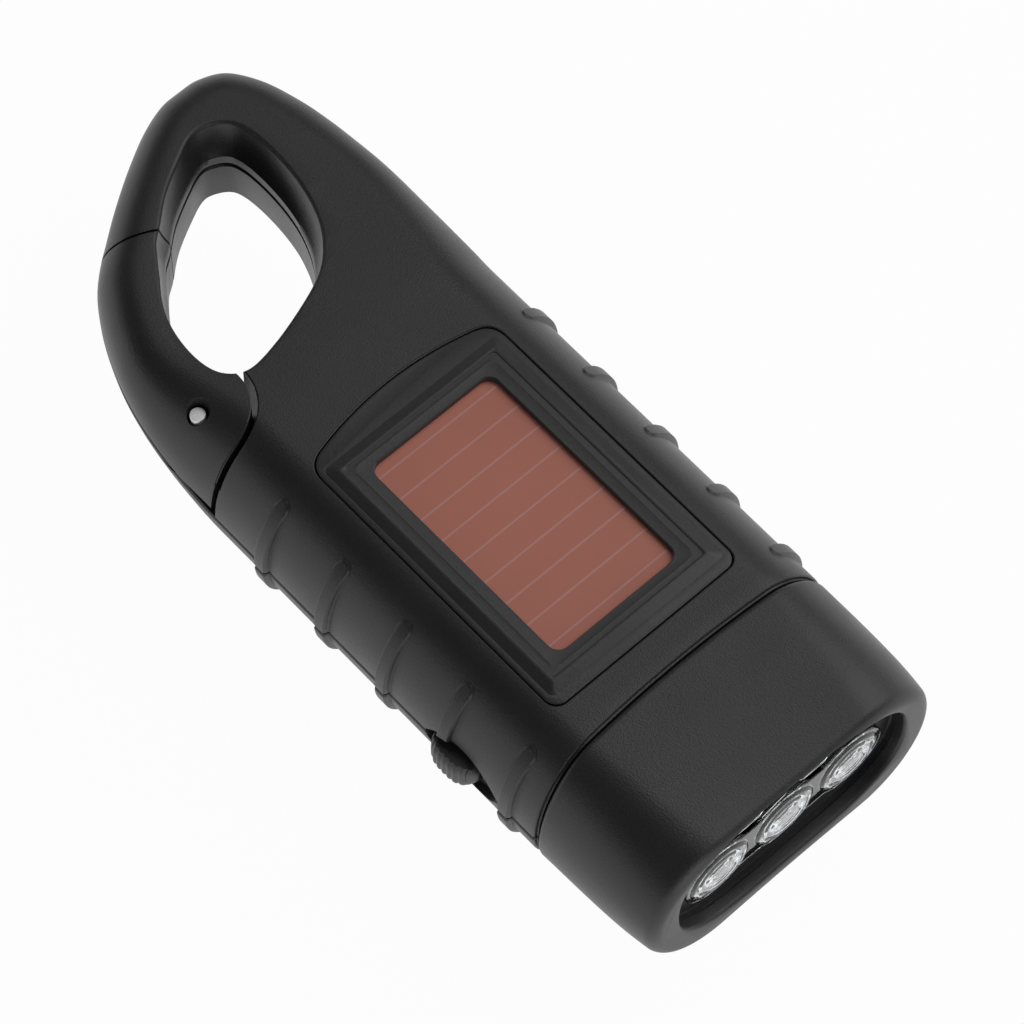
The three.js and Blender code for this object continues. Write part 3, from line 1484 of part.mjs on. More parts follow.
function crankArm() {
  const tailRound = armHalfWidth;
  const shape = new THREE.Shape();
  const endX = crankX - armLength;
  shape.moveTo(crankX, -armHalfWidth);
  shape.lineTo(crankX, armHalfWidth);
  shape.lineTo(endX, armHalfWidth);
  shape.absarc(endX, 0, tailRound, Math.PI / 2, 1.5 * Math.PI);
  const hubShape = new THREE.Shape();
  hubShape.absarc(crankX, 0, hubRadius, 0, 2 * Math.PI);
  const bevelled = (flat, segments) => {
    const geometry = new THREE.ExtrudeGeometry(flat, {
      depth: armThickness - 2 * armChamfer,
      bevelEnabled: true,
      bevelSize: armChamfer,
      bevelOffset: -armChamfer,
      bevelThickness: armChamfer,
      bevelSegments: 1,
      curveSegments: segments,
    });
    geometry.translate(0, 0, armChamfer);
    return solidFrom(geometry);
  };
  const body = bevelled(shape, roundSides / 2).add(bevelled(hubShape, wideSides));
  const [socketLowZ, socketHighZ] = [armThickness - socketDepth, armThickness + cutOverrun];
  const socket = pillar(crankX, 0, hexRadius + fitGap, socketLowZ, socketHighZ, 6);
  const screwHole = pillar(crankX, 0, crankScrewRadius + fitGap, -cutOverrun, armThickness, smallSides);
  const recess = pillar(crankX, 0, hubRecessRadius, -cutOverrun, hubRecessDepth, roundSides);
  const pinReach = armHalfWidth + cutOverrun;
  const pinHole = rodAlongY(knobPinX, knobZ, knobPinRadius + fitGap, -pinReach, pinReach);
  return body.subtract(union([socket, screwHole, recess, pinHole, knobSlot()]));
}

function crankScrew() {
  const profile = [
    [0, 0],
    [crankScrewHeadRadius, 0],
    [crankScrewHeadRadius, crankScrewHeadHeight],
    [crankScrewRadius, crankScrewHeadHeight],
    [crankScrewRadius, crankScrewLength],
    [0, crankScrewLength],
  ];
  return turned(profile, crankX, 0, hubRecessDepth - crankScrewHeadHeight, smallSides);
}

function knobHingePin() {
  const half = armHalfWidth - armChamfer / 2;
  return rodAlongY(knobPinX, knobZ, knobPinRadius, -half, half);
}

function knobPost() {
  const eye = rodAlongY(knobPinX, knobZ, knobEyeRadius, -knobEyeHalfWidth, knobEyeHalfWidth, roundSides);
  const start = knobPinX + knobEyeRadius;
  const end = start + knobCollarGap + knobLength;
  const post = rodAlongX(0, knobZ, knobPostRadius, knobPinX, end, smallSides);
  const cap = rodAlongX(0, knobZ, knobCapRadius, end - knobCapThickness, end, roundSides);
  const hole = rodAlongY(knobPinX, knobZ, knobPinRadius + runningGap, -armHalfWidth, armHalfWidth);
  return union([eye, post, cap]).subtract(hole);
}

function knobSleeve() {
  const inner = knobPostRadius + runningGap;
  const recess = knobCapThickness + runningGap;
  const profile = [[inner, 0], [knobRadius - knobGrooveDepth, 0], [knobRadius, knobGrooveDepth]];
  for (let i = 1; i <= knobGrooveCount; i += 1) {
    const middle = i / (knobGrooveCount + 1) * knobLength;
    profile.push(
      [knobRadius, middle - 2 * knobGrooveDepth],
      [knobRadius - knobGrooveDepth, middle],
      [knobRadius, middle + 2 * knobGrooveDepth],
    );
  }
  profile.push(
    [knobRadius, knobLength - knobGrooveDepth],
    [knobRadius - knobGrooveDepth, knobLength],
    [knobCapRadius + runningGap, knobLength],
    [knobCapRadius + runningGap, knobLength - recess],
    [inner, knobLength - recess],
    [inner, 0],
  );
  return turnedAlongX(profile, knobPinX + knobEyeRadius + knobCollarGap, 0, knobZ);
}

// Leads

// Two wires side by side in one jacket, along a path.
function twinLead(points) {
  const section = [];
  const sides = 4;
  const turns = [...Array(sides).keys()].map((i) => (i / (sides - 1) - 0.5) * Math.PI);
  [1, -1].forEach((side) => turns.forEach((angle) => {
    section.push([side * leadRadius * Math.sin(angle), side * leadRadius * (0.9 + Math.cos(angle))]);
  }));
  const path = new THREE.CatmullRomCurve3(points.map(([x, y, z]) => new THREE.Vector3(x, y, z)));
  return solidFrom(new THREE.ExtrudeGeometry(polygon(section), { steps: leadSteps, extrudePath: path }));
}

function solarLead() {
  const y = -cupPitch / 2;
  const top = cellTopZ - cellThickness - leadGap;
  const low = mainBoardTopZ + leadGap;
  const bulge = 2 * leadRadius;
  return twinLead([
    [mainBoardPostX, y, top],
    [mainBoardPostX, y, top - leadRadius],
    [mainBoardPostX - bulge, y + bulge, (top + low) / 2],
    [mainBoardPostX, y, low + 2 * leadRadius],
    [mainBoardPostX, y, low],
  ]);
}

const leadLandingX = mainBoardFrontX - 2 * leadRadius;

function batteryLead() {
  const endY = batteryLength / 2 + leadGap + 2 * leadRadius;
  const high = batteryZ + batteryRadius;
  const boardY = mainBoardWidth / 4;
  const low = mainBoardTopZ + leadGap;
  return twinLead([
    [batteryX, endY, batteryZ],
    [batteryX - leadRadius, endY + 2 * leadRadius, batteryZ + batteryRadius / 2],
    [batteryX - batteryRadius, endY, high],
    [leadLandingX, boardY, low + 2 * leadRadius],
    [leadLandingX, boardY, low],
  ]);
}

function generatorLead() {
  const z = plateTopZ + statorHeight + leadGap;
  const startX = rotorX + (windingInner + windingOuter) / 2;
  const high = z + 2 * leadRadius;
  const endX = mainBoardRearX + 2 * leadRadius;
  const endY = mainBoardBossY / 2;
  const low = mainBoardTopZ + leadGap;
  return twinLead([
    [startX, rotorY, z],
    [startX + 2 * leadRadius, rotorY, high],
    [(startX + endX) / 2, (rotorY + endY) / 2, high],
    [endX - leadRadius, endY, high],
    [endX, endY, low + 2 * leadRadius],
    [endX, endY, low],
  ]);
}

function ledLead() {
  const backX = ledBackX - boardThickness - leadGap;
  const low = lightZ + 0.7 * ledBoardHalfHeight;
  const high = batteryZ + batteryRadius + 4 * leadRadius;
  const end = mainBoardTopZ + leadGap;
  const y = -cupPitch / 2;
  return twinLead([
    [backX, y, low],
    [backX - leadRadius, y, low],
    [backX - 3 * leadRadius, y, low + 2 * leadRadius],
    [batteryX, y, high],
    [leadLandingX + leadRadius, y, high - leadRadius],
    [leadLandingX, y, end + 2 * leadRadius],
    [leadLandingX, y, end],
  ]);
}

// Assembly

const flashlight = new THREE.Group();

function place(name, solid, color, roughness, metalness = 0) {
  const material = new THREE.MeshStandardMaterial({ color, roughness, metalness });
  const mesh = new THREE.Mesh(geometryFrom(solid), material);
  mesh.name = name;
  flashlight.add(mesh);
}

const blackPlastic = 0x303030;
const softBlack = 0x262626;
const steel = 0xb8bac0;
const board = 0x1f5a33;

place('upper_shell', upperShell(), blackPlastic, 0.55);
place('lower_shell', lowerShell(), blackPlastic, 0.55);
place('head_shell', headShell(), blackPlastic, 0.5);
place('solar_bezel', solarBezel(), blackPlastic, 0.5);
place('solar_cell', solarCell(), 0x985f52, 0.4);
place('reflector', reflector(), 0xe6e8ec, 0.12, 1);
place('front_lens', frontLens(), 0xf4f7fa, 0.05);
cupPlaces.forEach((y, i) => place(`led_${i + 1}`, led(y), 0xf2f2ea, 0.1));
place('led_board', ledBoard(), board, 0.6);
postPlaces().forEach((spot, i) => place(`led_board_screw_${i + 1}`, ledBoardScrew(spot), steel, 0.35, 1));
place('battery_pack', batteryPack(), 0x2f6fb0, 0.4);
place('main_board', mainBoard(), board, 0.6);
boardScrewPlaces.forEach((spot, i) => {
  place(`board_screw_${i + 1}`, screwFromAbove(spot, mainBoardTopZ), steel, 0.35, 1);
});
place('board_capacitor', boardCapacitor(), 0x20242c, 0.4);
place('board_inductor', boardInductor(), 0x3a3a3c, 0.7);
place('board_chip', boardChip(), 0x1a1a1a, 0.6);
place('bridge_rectifier', bridgeRectifier(), 0x24211f, 0.5);
place('slide_switch', slideSwitch(), steel, 0.4, 1);
place('switch_button', switchButton(), softBlack, 0.5);
place('gate', gate(), blackPlastic, 0.55);
place('gate_pin', gatePin(), steel, 0.25, 1);
place('gate_spring', gateSpring(), steel, 0.3, 1);
place('crank_arm', crankArm(), blackPlastic, 0.55);
place('crank_screw', crankScrew(), steel, 0.3, 1);
place('crank_bushing', crankBushing(), 0xb08a48, 0.35, 1);
place('crank_gear', crankGear(), 0xe4e0d4, 0.5);
place('idler_gear', idlerGear(), 0xe4e0d4, 0.5);
place('idler_shaft', idlerShaft(), steel, 0.3, 1);
place('rotor_pinion', rotorPinion(), 0xd8d4c8, 0.5);
place('rotor_magnet', rotorMagnet(), 0x4a4a4e, 0.4, 1);
place('stator_winding', statorWinding(), 0xb4622c, 0.4, 1);
place('stator_core', statorCore(), 0x8c8e92, 0.4, 1);
place('gear_plate', gearPlate(), 0xcfcabb, 0.55);
plateBossPlaces.forEach((spot, i) => {
  place(`gear_plate_screw_${i + 1}`, screwFromAbove(spot, plateTopZ), steel, 0.35, 1);
});
place('knob_hinge_pin', knobHingePin(), steel, 0.3, 1);
place('knob_post', knobPost(), steel, 0.3, 1);
place('knob_sleeve', knobSleeve(), softBlack, 0.6);
shellScrewPlaces.forEach((spot, i) => place(`shell_screw_${i + 1}`, shellScrew(spot), 0x3c3c40, 0.4, 1));
place('solar_lead', solarLead(), 0xb02820, 0.5);
place('battery_lead', batteryLead(), 0x202020, 0.5);
place('generator_lead', generatorLead(), 0xc8a020, 0.5);
place('led_lead', ledLead(), 0xb02820, 0.5);

export default flashlight;
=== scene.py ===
import json
import math

import bpy
import numpy as np
from bpy.props import FloatProperty, FloatVectorProperty, PointerProperty
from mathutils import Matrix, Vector


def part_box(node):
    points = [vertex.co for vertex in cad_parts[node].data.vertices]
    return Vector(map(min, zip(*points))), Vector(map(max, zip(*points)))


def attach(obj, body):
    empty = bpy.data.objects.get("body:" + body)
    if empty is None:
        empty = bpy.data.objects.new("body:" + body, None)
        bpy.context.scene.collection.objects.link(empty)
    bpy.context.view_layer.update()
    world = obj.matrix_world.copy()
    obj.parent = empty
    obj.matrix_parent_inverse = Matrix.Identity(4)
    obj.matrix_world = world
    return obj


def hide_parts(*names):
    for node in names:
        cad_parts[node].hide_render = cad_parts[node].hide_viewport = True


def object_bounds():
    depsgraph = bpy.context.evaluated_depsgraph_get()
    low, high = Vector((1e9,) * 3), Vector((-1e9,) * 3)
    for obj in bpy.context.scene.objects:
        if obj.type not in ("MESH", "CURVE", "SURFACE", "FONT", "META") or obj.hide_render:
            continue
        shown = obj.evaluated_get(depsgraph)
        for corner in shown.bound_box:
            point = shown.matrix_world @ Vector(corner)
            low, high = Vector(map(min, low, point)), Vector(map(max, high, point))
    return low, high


bl_info = {
    "name": "Hand Crank Flashlight",
    "version": (1, 0, 0),
    "blender": (4, 5, 0),
    "location": "View3D > Sidebar > Flashlight",
    "description": "Dresses the packed flashlight with smooth shells, lens, cell and finishes",
    "category": "Object",
}

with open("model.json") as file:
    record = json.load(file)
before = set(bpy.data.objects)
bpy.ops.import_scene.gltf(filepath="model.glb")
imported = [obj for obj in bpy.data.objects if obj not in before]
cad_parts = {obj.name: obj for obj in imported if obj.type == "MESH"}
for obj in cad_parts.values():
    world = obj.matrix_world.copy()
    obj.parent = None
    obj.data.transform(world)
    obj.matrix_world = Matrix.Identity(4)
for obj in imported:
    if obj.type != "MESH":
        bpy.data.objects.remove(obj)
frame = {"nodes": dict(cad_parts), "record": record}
CAD_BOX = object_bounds()
NODES = frame["nodes"]
MM = 0.001


def extent(node, axis):
    """Lowest and highest place of a CAD node along one axis, in millimetres."""
    low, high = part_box(node)
    return low[axis] / MM, high[axis] / MM


# Radius on the axis that closes a turned solid, and how far a cutter passes what it cuts
AXIS = 0.01
OVERRUN = 3.0

# Places and sizes in millimetres, as in the CAD model

# Body and hook
TAIL_X = CAD_BOX[0][0] / MM
FACE_X = -TAIL_X
SEAM_X = 43.9
SEAM_BOW = 1.7
SEAM_BOW_REACH = (2.5, 4.0)
HEAD_REAR_X = SEAM_X + 0.6
COLLAR_X = SEAM_X + 4.5
HALF_WIDTH = 26.0
BACK_Z = 8.6
TOP_Z = extent("upper_shell", 2)[1]
PARTING_Z = 20.6
HOOK_LENGTH = 46.0
HOOK_TOP_DROP = 0.4
HOOK_UPPER = 8.5
HOOK_THICKNESS = 16.0
STEP_X = TAIL_X + 50.0
STEP_LENGTH = 24.0
BODY_EDGE = 10.5
HOOK_EDGE = 6.5
HOOK_SQUARENESS = 0.1
WALL = 2.0
GROOVE_RADIUS = 0.2
RIB_COUNT = 5
RIB_FIRST_X = -9.3
RIB_SPACING = 12.1
RIB_TOP_Y = 21.1
RIB_FADE = 4.5
SCOOP_DEPTH = 6.0
SCOOP_WIDTH = 1.8
SCOOP_LIP = 0.55

# Gate
PIVOT = (TAIL_X + 41.9, 4.7 - HALF_WIDTH)
HEEL_RADIUS = 7.2
HEEL_GROOVE = 0.9
TIP_GAP = 0.35
TIP_RADII = (28.6, 29.0, 27.9)
PIN_RADIUS = 1.1
PIN_HOLE_RADIUS = 1.5
SPRING_RADIUS = 3.4

# Shell screws
SHELL_SCREWS = (
    (TAIL_X + 0.45 * HOOK_LENGTH, 17.68), (TAIL_X + 0.96 * HOOK_LENGTH, -3.12),
    (SEAM_X - 3.3, 18.7), (SEAM_X - 3.3, -18.7),
)
SCREW_HOLE_RADIUS = 2.9
SCREW_BORE_RADIUS = 1.4
SCREW_SEAT = 2.8

# Bezel and cell
BEZEL_FRONT_X = 38.9
BEZEL_REAR_X = -11.76
BEZEL_HALF = 16.25
BEZEL_BOTTOM_Z = TOP_Z - 2.6
POCKET_GAP = 0.14
WELL_INSET = 1.6
WINDOW_X = (-3.5, 33.35)
WINDOW_HALF = 10.75
RIDGE_X = (-6.15, 36.0)
RIDGE_HALF = 14.05
RIDGE_Z = extent("solar_bezel", 2)[1]
RIDGE_DROP = 0.3
CELL_TOP_Z = extent("solar_cell", 2)[1]
CELL_LINE_SPACING = 4.15

# Head and light
HEAD_FACE_DROP = 1.4
HEAD_BOTTOM_RISE = 0.6
HEAD_FACE_HALF = 25.0
HEAD_EDGE = 12.6
HEAD_WAIST = 0.6
HEAD_ROUNDING = 1.7
FACE_SETBACK = 0.05
FACE_LEAN = 1.1
LEAN_LENGTH = 6.0
LIGHT_Z = 22.2
OPENING_Z = LIGHT_Z + 0.9
OPENING_HALF = 20.2
OPENING_HEIGHT = 10.6
CUPS_Y = (-11.6, 0.0, 11.6)
CUP_RADIUS = 5.35
STRIP_RADIUS = CUP_RADIUS + 0.6
STRIP_WEB = 0.76 * STRIP_RADIUS
STRIP_BEVEL = 0.15
WINDOW_GAP = 0.15
CUP_FRONT_X = 64.8
CUP_BACK_X = CUP_FRONT_X - 6.0
FLANGE_X = (62.0, 63.2)
FLANGE_HALF = 18.6
FLANGE_HEIGHT = 6.95
POSTS_Y = (-19.0, 19.0)
POST_RADIUS = 1.9
BOWL_DEPTH = 5.6
BOWL_RIPPLE = 0.05
LED_BACK_X = CUP_FRONT_X - 9.0
LED_RADIUS = 2.5
LED_FLANGE = 2.9
LED_STRAIGHT = 5.5
LENS_THICKNESS = 0.7
DOME_RADIUS = 5.2
DOME_RISE = 0.5
DOME_RIPPLE = 0.04
DOME_RIPPLE_PITCH = 1.15

# Switch
SWITCH_X = 31.3
BUTTON_X = 29.9
BUTTON_HALF = 4.35
BUTTON_HEIGHT = 2.6
BUTTON_PROUD = 2.0
BUTTON_RIB_HEIGHT = 0.22
BUTTON_FLOOR_Y = -HALF_WIDTH + 1.3
BUTTON_INNER_Y = -HALF_WIDTH + 3.5
LEVER_END_Y = -17.5

# Crank and its folding knob
CRANK_X = 16.0
CRANK_LENGTH = 43.5
CRANK_HALF_WIDTH = 7.6
CRANK_EDGE = 1.3
HUB_RADIUS = 13.0
HUB_GROOVE_RADIUS = 10.4
HUB_GROOVE_DEPTH = 0.55
SHAFT_HOLE_RADIUS = 5.1
SLOT_X = (-28.2, -3.5)
SLOT_HALF = 4.5
SOCKET_RADIUS = 3.7
SOCKET_Z = 3.0
SCREW_SEAT_Z = 2.0
HINGE_RADIUS = 1.1
HINGE_HOLE_RADIUS = 1.4
EYE_RADIUS = 3.3
SPINDLE_RADIUS = 1.7
SPINDLE_CAP_RADIUS = 2.7
KNOB_BORE_RADIUS = 2.0
KNOB_RECESS_RADIUS = 3.0
KNOB_RECESS_DEPTH = 1.3
KNOB_RIB_COUNT = 6
KNOB_RIB_HEIGHT = 0.3

# Screw heads: radius and height of each ring
CRANK_SCREW_HEAD = ((2.2, 0), (2.7, 0.15), (3.0, 0.5), (3.0, 1.6))
SHELL_SCREW_HEAD = ((1.8, 0), (2.2, 0.12), (2.4, 0.45), (2.4, 1.6))

# Outlines of the hook from above, in shares of its length and of half the body's width
RIGHT_SIDE_SHARES = [
    (1.3, 1), (1, 1), (0.737, 0.96), (0.511, 0.929), (0.396, 0.908),
    (0.285, 0.874), (0.146, 0.797), (0.046, 0.675), (0.004, 0.513), (0, 0.392),
]
LEFT_SIDE_SHARES = [
    (0.003, 0.278), (0.033, 0.12), (0.097, -0.086), (0.185, -0.32), (0.255, -0.483),
    (0.3, -0.585), (0.358, -0.689), (0.452, -0.8), (0.554, -0.888), (0.656, -0.953),
    (0.76, -0.988), (0.867, -1), (1, -1), (1.3, -1),
]
OPENING_SHARES = [
    (0.197, 0.235), (0.212, 0.355), (0.248, 0.428), (0.301, 0.462), (0.403, 0.474),
    (0.519, 0.456), (0.623, 0.41), (0.701, 0.347), (0.763, 0.262), (0.8, 0.187),
    (0.826, 0.108), (0.86, -0.04), (0.899, -0.26), (0.917, -0.442), (0.91, -0.512),
    (0.892, -0.56), (0.864, -0.599), (0.828, -0.622), (0.77, -0.632), (0.696, -0.62),
    (0.631, -0.59), (0.571, -0.54), (0.504, -0.457), (0.447, -0.387), (0.405, -0.33),
    (0.374, -0.262), (0.3, -0.108), (0.239, 0.07),
]
GATE_SHARES = [(0.84, -0.45), (0.52, 0.1), (0.1, 0.1), (-0.2, -0.4), (-0.2, -1.4)]

# The body's lip at the head: how far each ring lies behind the seam, and how much it grows
LIP_STEPS = ((0.35, 0.0), (0.12, -0.05), (0.0, -0.22), (0.0, -0.55), (-0.3, -0.6), (-0.32, -1.2))

# The head's rear edge: how far each ring lies ahead of it, and how far it is set in
HEAD_REAR_STEPS = ((0.0, 0.5), (0.2, 0.2), (0.5, 0.04), (0.8, 0.0))

# The head's bore: how much each ring grows, and its place along X
BORE_STEPS = (
    (0.1, 64.9), (0.35, 65.1), (0.35, 65.9), (0.0, 66.1), (0.0, FACE_X - 0.7), (0.08, FACE_X - 0.35),
    (0.25, FACE_X - 0.1), (0.5, FACE_X), (0.55, FACE_X + OVERRUN),
)

# Lamps: name, place in metres, size and power
LAMPS = (
    ("key", (0.2, 0.55, 0.7), 0.8, 3.6), ("front", (0.9, -0.15, 0.25), 0.5, 1.3),
    ("sheen", (-0.36, 0.32, 0.92), 0.6, 0.95),
)

# Camera, found by fitting the model's outline to the photograph
CAMERA_AZIMUTH = 47.79
CAMERA_ELEVATION = 62.37
CAMERA_DISTANCE = 0.7
CAMERA_TARGET = (1.219, 10.446, 3.054)
CAMERA_LENS = 177.56
CAMERA_SENSOR = 36.0


# Sizes and colours that a user would change

def length(name, description, default, low, high):
    """A length that a user can change, given in millimetres."""
    return FloatProperty(name=name, description=description, default=default * MM, min=low * MM,
                         max=high * MM, unit="LENGTH", precision=5)


def colour(name, description, default):
    """A colour that a user can change."""
    return FloatVectorProperty(name=name, description=description, default=default, size=3,
                               subtype="COLOR", min=0, max=1)


class FlashlightSizes(bpy.types.PropertyGroup):
    """Sizes of the small forms on the flashlight."""

    rib_height: length("Rib height", "How far the grip ribs stand out", 0.8, 0, 2)
    rib_width: length("Rib width", "Width of a grip rib", 2.2, 1, 5)
    seam_gap: length("Seam gap", "Gap between the two shells", 0.3, 0.1, 1)
    seam_groove: length("Seam groove", "Depth of the groove along the shells' seam", 0.35, 0, 1)


class FlashlightFinishes(bpy.types.PropertyGroup):
    """Colours of the flashlight's finishes."""

    shell: colour("Shell", "Satin black plastic of the body, head and gate", (0.022, 0.022, 0.023))
    cell: colour("Solar cell", "Red-brown film of the solar cell", (0.56, 0.2, 0.145))
    chrome: colour("Chrome", "Plating of the reflector cups", (0.86, 0.87, 0.89))
    floor: colour("Floor", "Pale floor under the flashlight", (0.9, 0.9, 0.9))


# Modelling helpers

def deselect():
    """Leave edit mode and select nothing."""
    if bpy.context.mode != "OBJECT":
        bpy.ops.object.mode_set(mode="OBJECT")
    bpy.ops.object.select_all(action="DESELECT")


def activate(piece):
    """Make a piece the only selected one and the active one."""
    deselect()
    piece.select_set(True)
    bpy.context.view_layer.objects.active = piece


def loft(name, rings, closed_path=False):
    """A grid is added, its rows are laid on the rings, and its seam and ends are closed."""
    rings = np.asarray(rings, float)
    rows, columns = rings.shape[:2]
    deselect()
    bpy.ops.mesh.primitive_grid_add(
        x_subdivisions=columns, y_subdivisions=rows if closed_path else rows - 1, size=MM)
    piece = bpy.context.object
    piece.name = piece.data.name = name
    places = np.concatenate([rings, rings[:, :1]], axis=1)
    if closed_path:
        places = np.concatenate([places, places[:1]], axis=0)
    piece.data.vertices.foreach_set("co", (places * MM).ravel())
    piece.data.update()
    bpy.ops.object.mode_set(mode="EDIT")
    bpy.ops.mesh.select_all(action="SELECT")
    bpy.ops.mesh.remove_doubles(threshold=0.000001)
    if not closed_path:
        bpy.ops.mesh.select_all(action="SELECT")
        bpy.ops.mesh.fill_holes(sides=0)
    bpy.ops.mesh.select_all(action="SELECT")
    bpy.ops.mesh.normals_make_consistent(inside=False)
    bpy.ops.object.mode_set(mode="OBJECT")
    return piece


def upright(name, outline, low, high):
    """A prism that stands on a flat outline."""
    return loft(name, [[(x, y, z) for x, y in outline] for z in (low, high)])


def block(name, x, y, z):
    """A box between pairs of places along X, Y and Z."""
    return upright(name, [(x[0], y[0]), (x[1], y[0]), (x[1], y[1]), (x[0], y[1])], *z)


def circle(x, y, radius, count=96, start=0.0, sweep=2 * math.pi, ends=False):
    """Places along a circle or an arc of it, with both its ends if asked for."""
    steps = count - 1 if ends else count
    angles = [start + sweep * i / steps for i in range(count)]
    return [(x + radius * math.cos(a), y + radius * math.sin(a)) for a in angles]


def capped(profile):
    """A turned solid's profile, closed on its axis at both ends."""
    return [(AXIS, profile[0][1])] + list(profile) + [(AXIS, profile[-1][1])]


def mirrored(steps, total=0.0):
    """Steps of (value, place) with their mirror image after them; the two places add up to the total."""
    return list(steps) + [(value, total - place) for value, place in steps[::-1]]


def turned(name, profile, centre, axis=2, count=96):
    """A solid turned about an axis (0, 1 or 2) through a centre, from (radius, place along it)."""
    angles = np.linspace(0, 2 * math.pi, count, endpoint=False)
    first, second = [k for k in range(3) if k != axis]
    rings = np.zeros((len(profile), count, 3)) + np.asarray(centre, float)
    for ring, (radius, along) in zip(rings, profile):
        ring[:, first] += radius * np.cos(angles)
        ring[:, second] += radius * np.sin(angles)
        ring[:, axis] += along
    return loft(name, rings)


def stacked(name, outline, steps):
    """An upright solid through (value, height) steps; the outline is a function of the value."""
    return loft(name, [[(x, y, z) for x, y in outline(value)] for value, z in steps])


def softened(name, outline, low, high, radius, count=8):
    """An upright solid with rounded edges, whose outline is a function of how much it grows."""
    angles = [i / count * math.pi / 2 for i in range(count + 1)]
    steps = [(-radius * (1 - math.sin(a)), low + radius * (1 - math.cos(a))) for a in angles]
    return stacked(name, outline, mirrored(steps, low + high))


def cross_recess(x, y, z, reach, depth):
    """A cross-shaped cutter that goes up into a screw's head from below."""
    half = 0.35
    height = (z - 2, z + depth)
    bar = block("cross_bar", (x - reach, x + reach), (y - half, y + half), height)
    other = block("cross_bar", (x - half, x + half), (y - reach, y + reach), height)
    return combine(bar, other, "UNION")


def cross_headed_screw(name, x, y, span, head, shank, recess, count):
    """A screw that points up; its head is (radius, height) places, its recess a reach and a depth."""
    low, high = span
    profile = [(radius, low + up) for radius, up in head]
    profile += [(shank, profile[-1][1]), (shank, high - 1), (shank - 0.8, high)]
    screw = turned(name, capped(profile), (x, y, 0), count=count)
    return combine(screw, cross_recess(x, y, low, *recess))


def copy_of(piece, name):
    """A second piece of the same shape."""
    twin = piece.copy()
    twin.data = piece.data.copy()
    twin.name = twin.data.name = name
    bpy.context.scene.collection.objects.link(twin)
    return twin


def combine(piece, other, operation="DIFFERENCE"):
    """The other solid is cut from, joined to or intersected with the piece."""
    modifier = piece.modifiers.new("combine", "BOOLEAN")
    modifier.operation = operation
    modifier.solver = "MANIFOLD"
    modifier.object = other
    activate(piece)
    bpy.ops.object.modifier_apply(modifier=modifier.name)
    bpy.data.objects.remove(other)
    if not piece.data.polygons:
        raise RuntimeError(f"{piece.name} has no faces left after a {operation}")
    return piece


def finish(piece, body, slot, *nodes, look=None, degrees=32.0):
    """Shade a piece, put it in its body, give it the finish of its slot or of another look, and hide the
    CAD nodes it stands for.
    """
    activate(piece)
    bpy.ops.object.shade_smooth_by_angle(angle=math.radians(degrees))
    piece.data.materials.clear()
    piece.data.materials.append(FINISHES[look or slot])
    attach(piece, body)
    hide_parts(*nodes)


# Form of the body and hook

def spline(shares, closed, count):
    """Places along a centripetal spline through the given shares of the hook."""
    points = [np.array((TAIL_X + u * HOOK_LENGTH, v * HALF_WIDTH)) for u, v in shares]
    n = len(points)
    spans = n if closed else n - 1
    places = []
    for k in range(count + (0 if closed else 1)):
        share = k / count * spans
        i = min(int(share), spans - 1)
        w = share - i
        b, c = points[i % n], points[(i + 1) % n]
        a = points[i - 1] if closed or i > 0 else 2 * b - c
        d = points[(i + 2) % n] if closed or i + 2 < n else 2 * c - b
        pairs = ((a, b), (b, c), (c, d))
        before, span, after = [max(np.linalg.norm(q - p), 1e-6) ** 0.5 for p, q in pairs]
        start = ((b - a) / before - (c - a) / (before + span) + (c - b) / span) * span
        end = ((c - b) / span - (d - b) / (span + after) + (d - c) / after) * span
        square, cube = 3 * (c - b) - 2 * start - end, 2 * (b - c) + start + end
        places.append(b + start * w + square * w ** 2 + cube * w ** 3)
    return np.array(places)


def smoothstep(value, low, high):
    """A share that goes softly from 0 at the low value to 1 at the high one."""
    share = np.clip((value - low) / (high - low), 0, 1)
    return share * share * (3 - 2 * share)


OUTLINE = spline(RIGHT_SIDE_SHARES + LEFT_SIDE_SHARES, False, 4000)
TIP = int(np.argmin(OUTLINE[:, 0]))
SIDES = {1: OUTLINE[TIP::-1], -1: OUTLINE[TIP:]}


def side_at(x, side):
    """Place and outward direction of the outline on one side at a place along X."""
    if x >= TAIL_X + HOOK_LENGTH:
        return np.array((x, side * HALF_WIDTH)), np.array((0.0, side))
    line = SIDES[side]
    if x <= line[0][0]:
        return line[0], np.array((-1.0, 0.0))
    i = int(np.clip(np.searchsorted(np.maximum.accumulate(line[:, 0]), x), 1, len(line) - 2))
    share = (x - line[i - 1][0]) / max(line[i][0] - line[i - 1][0], 1e-9)
    place = line[i - 1] + np.clip(share, 0, 1) * (line[i] - line[i - 1])
    along = line[i + 1] - line[max(i - 2, 0)]
    along = along / np.linalg.norm(along)
    out = np.array((-along[1], along[0])) * side
    return place, out


def profile_at(x):
    """Top, parting line, bottom and edge rounding at a place along X."""
    step = float(smoothstep(STEP_X - x, 0, STEP_LENGTH))
    top = TOP_Z - HOOK_TOP_DROP * step
    parting = PARTING_Z + (TOP_Z - HOOK_UPPER - PARTING_Z) * step
    bottom = BACK_Z + (TOP_Z - HOOK_THICKNESS - BACK_Z) * step
    edge = BODY_EDGE + (HOOK_EDGE - BODY_EDGE) * step
    return top, parting, bottom, edge


# Angles round the skin's edge, closer where the shells' seam and the ribs' ends lie
ARC = [0, 0.3, 0.6, 0.95, 1.3, 1.7, 2.2, 3.0, 4.2] + [6 + 2.4 * i for i in range(19)]
ARC += [50 + 0.7 * i for i in range(23)] + [67.5 + 2.4 * i for i in range(9)]
ARC = [math.radians(a) for a in ARC] + [math.pi / 2]
ACROSS_STEPS = 12


